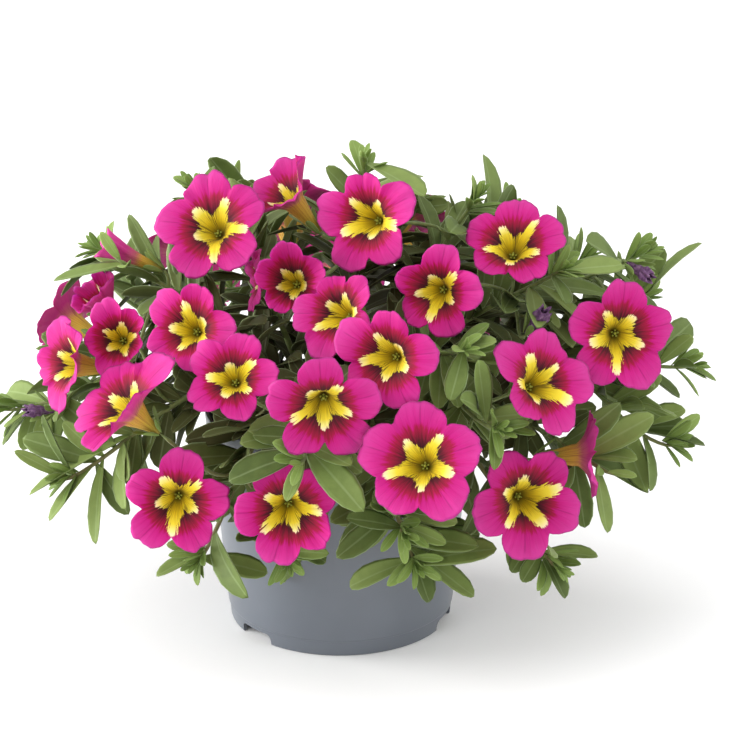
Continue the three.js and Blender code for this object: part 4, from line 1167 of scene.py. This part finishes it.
def stands_clear(leaf):
    """A further leaf may not cut a corolla, cover its face, cross the pot or leave the crown."""
    if not leaf["small"] and np.linalg.norm((leaf_point(leaf, 1) - crown_middle) / crown_reach) > 1:
        return False
    side = crossed(leaf["direction"], leaf["normal"]) * leaf["width"] * 0.45
    points = []
    for station in (0.15, 0.35, 0.55, 0.75, 1.0):
        middle = leaf_point(leaf, station)
        edge = side * math.sin(math.pi * station)
        points += [middle, middle + edge, middle - edge]
    points = np.array(points)
    if (points < crown_low + 1).any() or (points > crown_high - 1).any() or hides_bud(points):
        return False
    reach = np.linalg.norm(points[:, :2], axis=1)
    over_rim = (reach > rim_zone[0]) & (reach < rim_zone[1])
    if ((points[:, 2] < pot_height / mm + 3) & over_rim).any():
        return False
    apart = points[:, None, :] - centres[None, :, :]
    height = (apart * outs[None, :, :]).sum(axis=2)
    radius = np.sqrt(np.maximum((apart ** 2).sum(axis=2) - height ** 2, 0))
    share = radius / radii
    surface = -funnel_depth * np.exp(-(share - funnel_from) / funnel_width)
    before = (share < 1.0) & (height > surface - face_clearance) & (height < face_view)
    in_tube = (share < tube_share) & (height > tube_zone[0]) & (height < tube_zone[1])
    return not (before | in_tube).any()


# Leaves that hang over the edge and show their face: the stem and the shoot that carry each, the
# place on it, the leaf's tip and its width.
hanging_leaves = [
    (5, 1, 0.55, (117, -45, 70), 11), (5, 1, 0.35, (126, -26, 92), 9),
    (5, 1, 0.75, (134, -24, 89), 8), (6, 0, 0.8, (93, -56, 60), 9),
    (6, 0, 0.6, (77, -40, 82), 7), (7, 0, 0.42, (52, -42, 58), 10),
    (12, 0, 0.68, (-80, -40, 70), 8), (1, 1, 0.95, (42, 8, 168), 8),
    (7, 0, 0.85, (65, -66, 46), 7), (7, 0, 0.9, (69, -68, 43), 7), (12, 0, 0.55, (-69, -36, 76), 10),
    (11, 0, 0.4, (-58, -50, 93), 9), (13, 0, 0.88, (-123, -18, 76), 7),
    (13, 0, 0.84, (-116, -20, 74), 8),
    (13, 0, 0.8, (-111, -18, 79), 7), (12, 0, 0.97, (-123, -45, 87), 5),
]
facing = np.array([0.0, -1.0, 0.6])
for stem, number, place, tip, width in hanging_leaves:
    root = on_shoot(plants[stem - 1].shoots[number], place)
    reach = np.array(tip, float) - root
    direction = unit(reach)
    normal = unit(facing - direction * facing.dot(direction))
    leaf = blade(root, direction, normal, np.linalg.norm(reach), width, 0.0)
    plants[stem - 1].leaves.append(leaf)

# How many leaves fill a stem and its side shoot, and from which place to which along them.
main_filling = (34, 0.14, 0.95)
side_filling = (18, 0.1, 0.92)
filling_tries = 6
rosette_leaves = 10
filling = np.random.default_rng(77)
for plant in plants:
    for number, shoot in enumerate(plant.shoots):
        count, first, last = main_filling if number == 0 else side_filling
        for k in range(count):
            for _ in range(filling_tries):
                length = filling.uniform(19, 30)
                turn = golden_angle * k + filling.uniform(-50, 50) + plant.turn
                leaf = leaf_on(
                    shoot, first + (last - first) * k / count, False, turn, filling.uniform(50, 85),
                    length, length * filling.uniform(0.3, 0.38), filling.uniform(0.05, 0.2),
                )
                if stands_clear(leaf):
                    plant.leaves.append(leaf)
                    break
        for k in range(rosette_leaves):
            share = k / rosette_leaves
            length = (15 - 9 * share) * filling.uniform(0.85, 1.15)
            turn = golden_angle * k + filling.uniform(-15, 15) + plant.turn
            leaf = leaf_on(
                shoot, 0.92 + 0.08 * share, True, turn, 64 - 50 * share,
                length, length * filling.uniform(0.24, 0.33), filling.uniform(-0.1, 0.1),
            )
            if stands_clear(leaf):
                leaf["young"] = 0.8 + 0.2 * share
                plant.leaves.append(leaf)

leaf_shape = ball_shape(8, 8)
stem_shape = ball_shape(8, 22)
stalk_shape = ball_shape(6, 11)
folded_up = 0.34
half_thickness = 0.27
midrib_groove = 0.42
sepal_width = 2.6
thin_stalk = 0.7
calyx_swell = 1.2


class Tissue:
    """The corners and faces of one mesh, with its plane and its values for the pigment."""

    def __init__(self):
        self.corners = []
        self.faces = []
        self.flat = []
        self.values = []
        self.count = 0

    def add(self, corners, faces, flat, values):
        self.corners.append(corners)
        self.faces += [[index + self.count for index in face] for face in faces]
        self.flat.append(flat)
        self.values.append(np.tile(values, (len(corners), 1)))
        self.count += len(corners)

    def piece(self, name, material, node_name, names):
        """A closed, smooth object of all that was added."""
        piece = new_piece(name, np.vstack(self.corners), self.faces, material)
        write_fields(piece.data, names, np.vstack(self.values), np.vstack(self.flat))
        make_active(piece)
        face_outwards()
        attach(piece, "root")
        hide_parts(node_name)


def leaf_width_at(along):
    """The half width of a blade, 1 at its widest: slim at its foot and blunt at its tip."""
    return 1.64 * along ** 0.65 * (1 - along ** 2.8) ** 0.6


def grow_leaf(tissue, leaf, tint, young, twist, fold, arch):
    """Pulls the leaf's shape out along its direction: folded up at its sides, arched and twisted."""
    _, faces, along, spokes = leaf_shape
    across, upper = spokes.T
    half = leaf["width"] / 2 * leaf_width_at(along)
    side = crossed(leaf["direction"], leaf["normal"])
    turned = twist * along
    lateral = np.outer(np.cos(turned), side) + np.outer(np.sin(turned), leaf["normal"])
    lift = half * folded_up * np.abs(across) ** 1.4 * fold
    lift += half_thickness * upper * np.minimum(1, half / 1.5)
    groove = np.where(np.abs(across) < 0.1, 1, 0) * np.minimum(1, half / 2) * (along < 0.9)
    lift -= midrib_groove * groove
    lift += leaf["length"] * arch * 4 * along * (1 - along)
    lift -= leaf["bow"] * leaf["length"] * along ** 2
    corners = (leaf["root"] + leaf["direction"] * leaf["length"] * along[:, None]
               + lateral * (half * across)[:, None] + leaf["normal"] * lift[:, None])
    # how deep inside the crown a leaf stands: this sets its painted shade, partly also its duller age
    shaded = 0.95 - np.linalg.norm((leaf_point(leaf, 0.6) - crown_middle) / crown_reach)
    values = (tint, young, float(np.clip(shaded / 0.4, 0, 1)))
    tissue.add(corners, faces, np.column_stack([across / 2 + 0.5, along]), values)


def grow_stick(tissue, shape, handles, radius_at):
    """Pulls a sphere out along an arc to a round stick."""
    corners, faces, _, spokes = shape
    reference = crossed(arc_direction(handles, 0.02), arc_direction(handles, 0.98))
    places = []
    for corner, (right, up) in zip(corners, spokes):
        t = math.acos(max(-1, min(1, corner[2]))) / math.pi
        direction = arc_direction(handles, t)
        across = crossed(direction, reference)
        spoke = across * right + np.cross(direction, across) * up
        places.append(arc_point(handles, t) + spoke * radius_at(t))
    flat = np.column_stack([corners[:, 0] / 2 + 0.5, corners[:, 2] / 2 + 0.5])
    tissue.add(np.array(places), faces, flat, (0.5,))


def stalk_radius_at(t):
    """A stalk is thin and swells under its calyx."""
    return thin_stalk + calyx_swell * max(0, (t - 0.88) / 0.12) ** 2


leaf_fields = ("tint", "young", "shaded")

# Leaf tissue: soft mid green, matt with fine short hairs and a paler midrib; a pale fine margin
# is partly the pale edge hairs and partly painted sheen. Young leaves are lighter and yellower,
# and leaves deep in the plant are darkened towards brown: painted shade for the dim interior,
# partly also the duller colour of older leaves.
leaf_green, tree, shader = new_material("calibrachoa_leaf")
tint, young, shaded = [
    node(tree, "Attribute", {"attribute_name": name}).outputs["Fac"] for name in leaf_fields
]
across = node(tree, "SeparateXYZ", inputs=[node(tree, "UVMap")]).outputs["X"]
place = node(tree, "TexCoord").outputs["Object"]
mottle = node(tree, "TexNoise", inputs={"Vector": place, "Scale": 260.0, "Detail": 3.0})
grown = node(tree, "Math", times_plus, [mottle, 0.5, -0.25])
grown = node(tree, "Math", plus, [grown, tint])
old_leaf = node(
    tree, "ValToRGB", inputs=[grown], stops=[(0.0, "#4A5A28"), (0.5, "#627438"), (1.0, "#7A8C4A")],
)
new_leaf = node(tree, "ValToRGB", inputs=[grown], stops=[(0.0, "#627A34"), (1.0, "#80984C")])
green = node(tree, "Mix", colours, {"Factor": young, "A": old_leaf, "B": new_leaf})
# deep leaves get painted shade: a dark brown mixed in by depth, partly also older leaves' dull colour
inner = node(tree, "Math", times, [shaded, 0.75])
green = node(tree, "Mix", colours, {"Factor": inner, "A": green, "B": linear("#453C24")})
off_middle = node(tree, "Math", minus, [across, 0.5])
off_middle = node(tree, "Math", {"operation": "ABSOLUTE"}, [off_middle])
midrib = node(tree, "MapRange", smooth, [off_middle, 0.01, 0.06, 0.2, 0.0])
# pale margin: partly the pale edge hairs, partly painted sheen where light catches them
margin_hairs_and_sheen = node(tree, "MapRange", smooth, [off_middle, 0.45, 0.49, 0.0, 0.6])
pale_lines = node(tree, "Math", larger, [midrib, margin_hairs_and_sheen])
green = node(tree, "Mix", colours, {"Factor": pale_lines, "A": green, "B": linear("#A9BC88")})
down = node(tree, "TexNoise", inputs={"Vector": place, "Scale": 1500.0, "Detail": 2.0})
bump = node(tree, "Bump", inputs={"Strength": 0.2, "Distance": 0.15 * mm, "Height": down})
feed(tree, shader, {
    "Base Color": green, "Normal": bump, "Roughness": 0.6, "IOR": 1.4, "Specular IOR Level": 0.35,
    "Sheen Weight": 0.06, "Sheen Tint": linear("#C8D8B0"),
})

# Stem tissue: pale green, round and hairy; older stems turn straw brown near the soil.
stem_green, tree, shader = new_material("calibrachoa_stem")
place = node(tree, "TexCoord").outputs["Object"]
fibres = node(tree, "TexNoise", inputs={"Vector": place, "Scale": 600.0, "Detail": 3.0})
height = node(tree, "SeparateXYZ", inputs=[place]).outputs["Z"]
old_wood = node(tree, "MapRange", inputs=[height, 72 * mm, 100 * mm, 0.7, 0.0])
skin = node(tree, "ValToRGB", inputs=[fibres], stops=[(0.3, "#5E6E36"), (0.7, "#788648")])
skin = node(tree, "Mix", colours, {"Factor": old_wood, "A": skin, "B": linear("#7A6A45")})
feed(tree, shader, {"Base Color": skin, "Roughness": 0.6, "Sheen Weight": 0.15})

growing = np.random.default_rng(31)
for plant in plants:
    foliage = Tissue()
    for leaf in plant.leaves:
        young = leaf.get("young", 0.55 if leaf["small"] else 0.0)
        grow_leaf(
            foliage, leaf, growing.uniform(0, 1), young, growing.uniform(-0.25, 0.25),
            growing.uniform(0.5, 1.3), growing.uniform(0.0, 0.06),
        )
    sticks = Tissue()
    for number, (handles, steps) in enumerate(plant.shoots):
        thick = stem_radius if number == 0 else shoot_radius
        grow_stick(sticks, stem_shape, handles, lambda t: thick + (tip_radius - thick) * t)
    for flower, handles in plant.stalks:
        grow_stick(sticks, stalk_shape, handles, stalk_radius_at)
        seat = handles[3]
        turn = growing.uniform(0, 72)
        for i in range(5):
            angle = math.radians(72 * i + turn)
            spoke = flower.spoke(angle)
            spread = math.radians(growing.uniform(20, 34))
            direction = unit(flower.out * math.cos(spread) + spoke * math.sin(spread))
            normal = unit(flower.out * math.sin(spread) - spoke * math.cos(spread))
            sepal = blade(
                seat + spoke * 1.3 - flower.out * 0.6, direction, normal,
                growing.uniform(8.5, 11), sepal_width, growing.uniform(0.0, 0.12),
            )
            grow_leaf(foliage, sepal, growing.uniform(0.3, 1), 0.6, 0.0, 0.8, 0.0)
    foliage.piece(f"foliage_{plant.number:02d}", leaf_green, plant.name, leaf_fields)
    sticks.piece(f"shoots_{plant.number:02d}", stem_green, plant.name, ("tint",))

# ------------ bud and withered flowers
# One corolla is still furled, its pink lobes folded together over the golden tube. Three have
# withered: they are limp, violet and rolled up.
furled_rings = 26
furled_steps = 60
mouth_rings = 8


def closed_rows(flower, waves, crumple):
    """Rows of a furled corolla, from inside its mouth over the folded rim and down to its foot."""
    swing = waves.uniform(0, 2 * math.pi, 3)
    rows = []
    for k in range(furled_rings):
        row = []
        for i in range(furled_steps):
            angle = 2 * math.pi * i / furled_steps
            inner = k < mouth_rings
            down = 0.34 * (1 - k / mouth_rings)
            if not inner:
                down = (k - mouth_rings) / (furled_rings - mouth_rings - 1)
            fold = 0.5 + 0.5 * math.cos(5 * angle + 3.2 * down + swing[0])
            widths = (flower.flare, 1, 0.62, 0.42, 1.2 / flower.radius)
            wide = np.interp(down, (0, 0.18, 0.5, 0.8, 1), widths)
            deep = np.interp(down, (0, 0.3, 0.7, 1), (0.4, 0.3, 0.12, 0))
            radius = flower.radius * wide * (1 - deep * (1 - fold)) * (0.9 if inner else 1.0)
            creased = 0.14 * math.sin(7 * angle + 9 * down + swing[1])
            creased += 0.1 * math.sin(23 * down + swing[2])
            radius *= 1 + crumple * creased
            radius -= 0.5 * inner * (1 - down)
            height = -flower.depth * down + 1.8 * (fold - 0.6) * math.exp(-6 * down)
            point = flower.centre + flower.spoke(angle) * radius + flower.out * height
            share = 0.95 * (1 - down) ** 1.4
            row.append((point, share, 0.3, 0.3, 1.0, 0.0 if inner else 1.0, angle))
        rows.append(row)
    return rows


# Withered petal tissue: dull violet with darker creases, papery and matt.
withered, tree, shader = new_material("withered_petal")
place = node(tree, "TexCoord").outputs["Object"]
creases = node(tree, "TexNoise", inputs={"Vector": place, "Scale": 700.0, "Detail": 3.0})
violet = node(
    tree, "ValToRGB", inputs=[creases],
    stops=[(0.35, "#4E2E52"), (0.55, "#6E4A72"), (0.7, "#8A6A88")],
)
bump = node(tree, "Bump", inputs={"Strength": 0.6, "Distance": 0.3 * mm, "Height": creases})
feed(tree, shader, {"Base Color": violet, "Normal": bump, "Roughness": 0.85})

for number, flower in enumerate(closed_flowers):
    waves = np.random.default_rng(800 + number)
    is_bud = flower.name == "bud"
    inside = (flower.centre - flower.out * flower.depth * 0.36, 0.4, 0.3, 0.3, 1.0, 0.0, 0.0)
    foot = (flower.centre - flower.out * flower.depth, 0.01, 0.3, 0.3, 1.0, 1.0, 0.0)
    rows = closed_rows(flower, waves, 0.2 if is_bud else 1.0)
    piece = pull_sphere(rows, (inside, foot), waves.uniform(0, 1))
    piece.name = f"furled_{flower.name}"
    piece.data.materials.append(petal if is_bud else withered)
    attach(piece, "root")
    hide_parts(flower.name)

# ------------ floor and light
# A plain, nearly white studio floor, under broad soft light: a large key from the front left, a
# low light from the left, a weaker fill from the right, one from above and an even pale surrounding.
deselect_all()
bpy.ops.mesh.primitive_plane_add(size=8.0)
floor = bpy.context.object
floor.name = "floor"
# Studio paper: plain, nearly white and matt.
studio_paper, tree, shader = new_material("studio_paper")
feed(tree, shader, {"Base Color": linear("#FBFBFB"), "Roughness": 0.9})
floor.data.materials.append(studio_paper)
plant_middle = Vector((0.0, 0.0, 0.1))
for name, place, size, power in (
    ("key_light", (-1.1, -1.2, 1.1), 1.0, 14.0),
    ("side_light", (-1.6, 0.2, 0.3), 0.9, 36.0),
    ("fill_light", (1.5, -0.3, 0.7), 1.2, 9.0),
    ("top_light", (0.0, -0.3, 1.7), 1.2, 5.0),
):
    lamp = bpy.data.lights.new(name, "AREA")
    lamp.size = size
    lamp.energy = power
    holder = bpy.data.objects.new(name, lamp)
    holder.location = place
    holder.rotation_euler = (plant_middle - Vector(place)).to_track_quat("-Z", "Y").to_euler()
    bpy.context.scene.collection.objects.link(holder)
surround = bpy.data.worlds.new("surround")
surround.use_nodes = True
tree = surround.node_tree
feed(tree, tree.nodes["Background"], {"Color": (1.0, 1.0, 1.0, 1.0), "Strength": 0.95})
bpy.context.scene.world = surround
bpy.context.scene.view_settings.view_transform = "Standard"
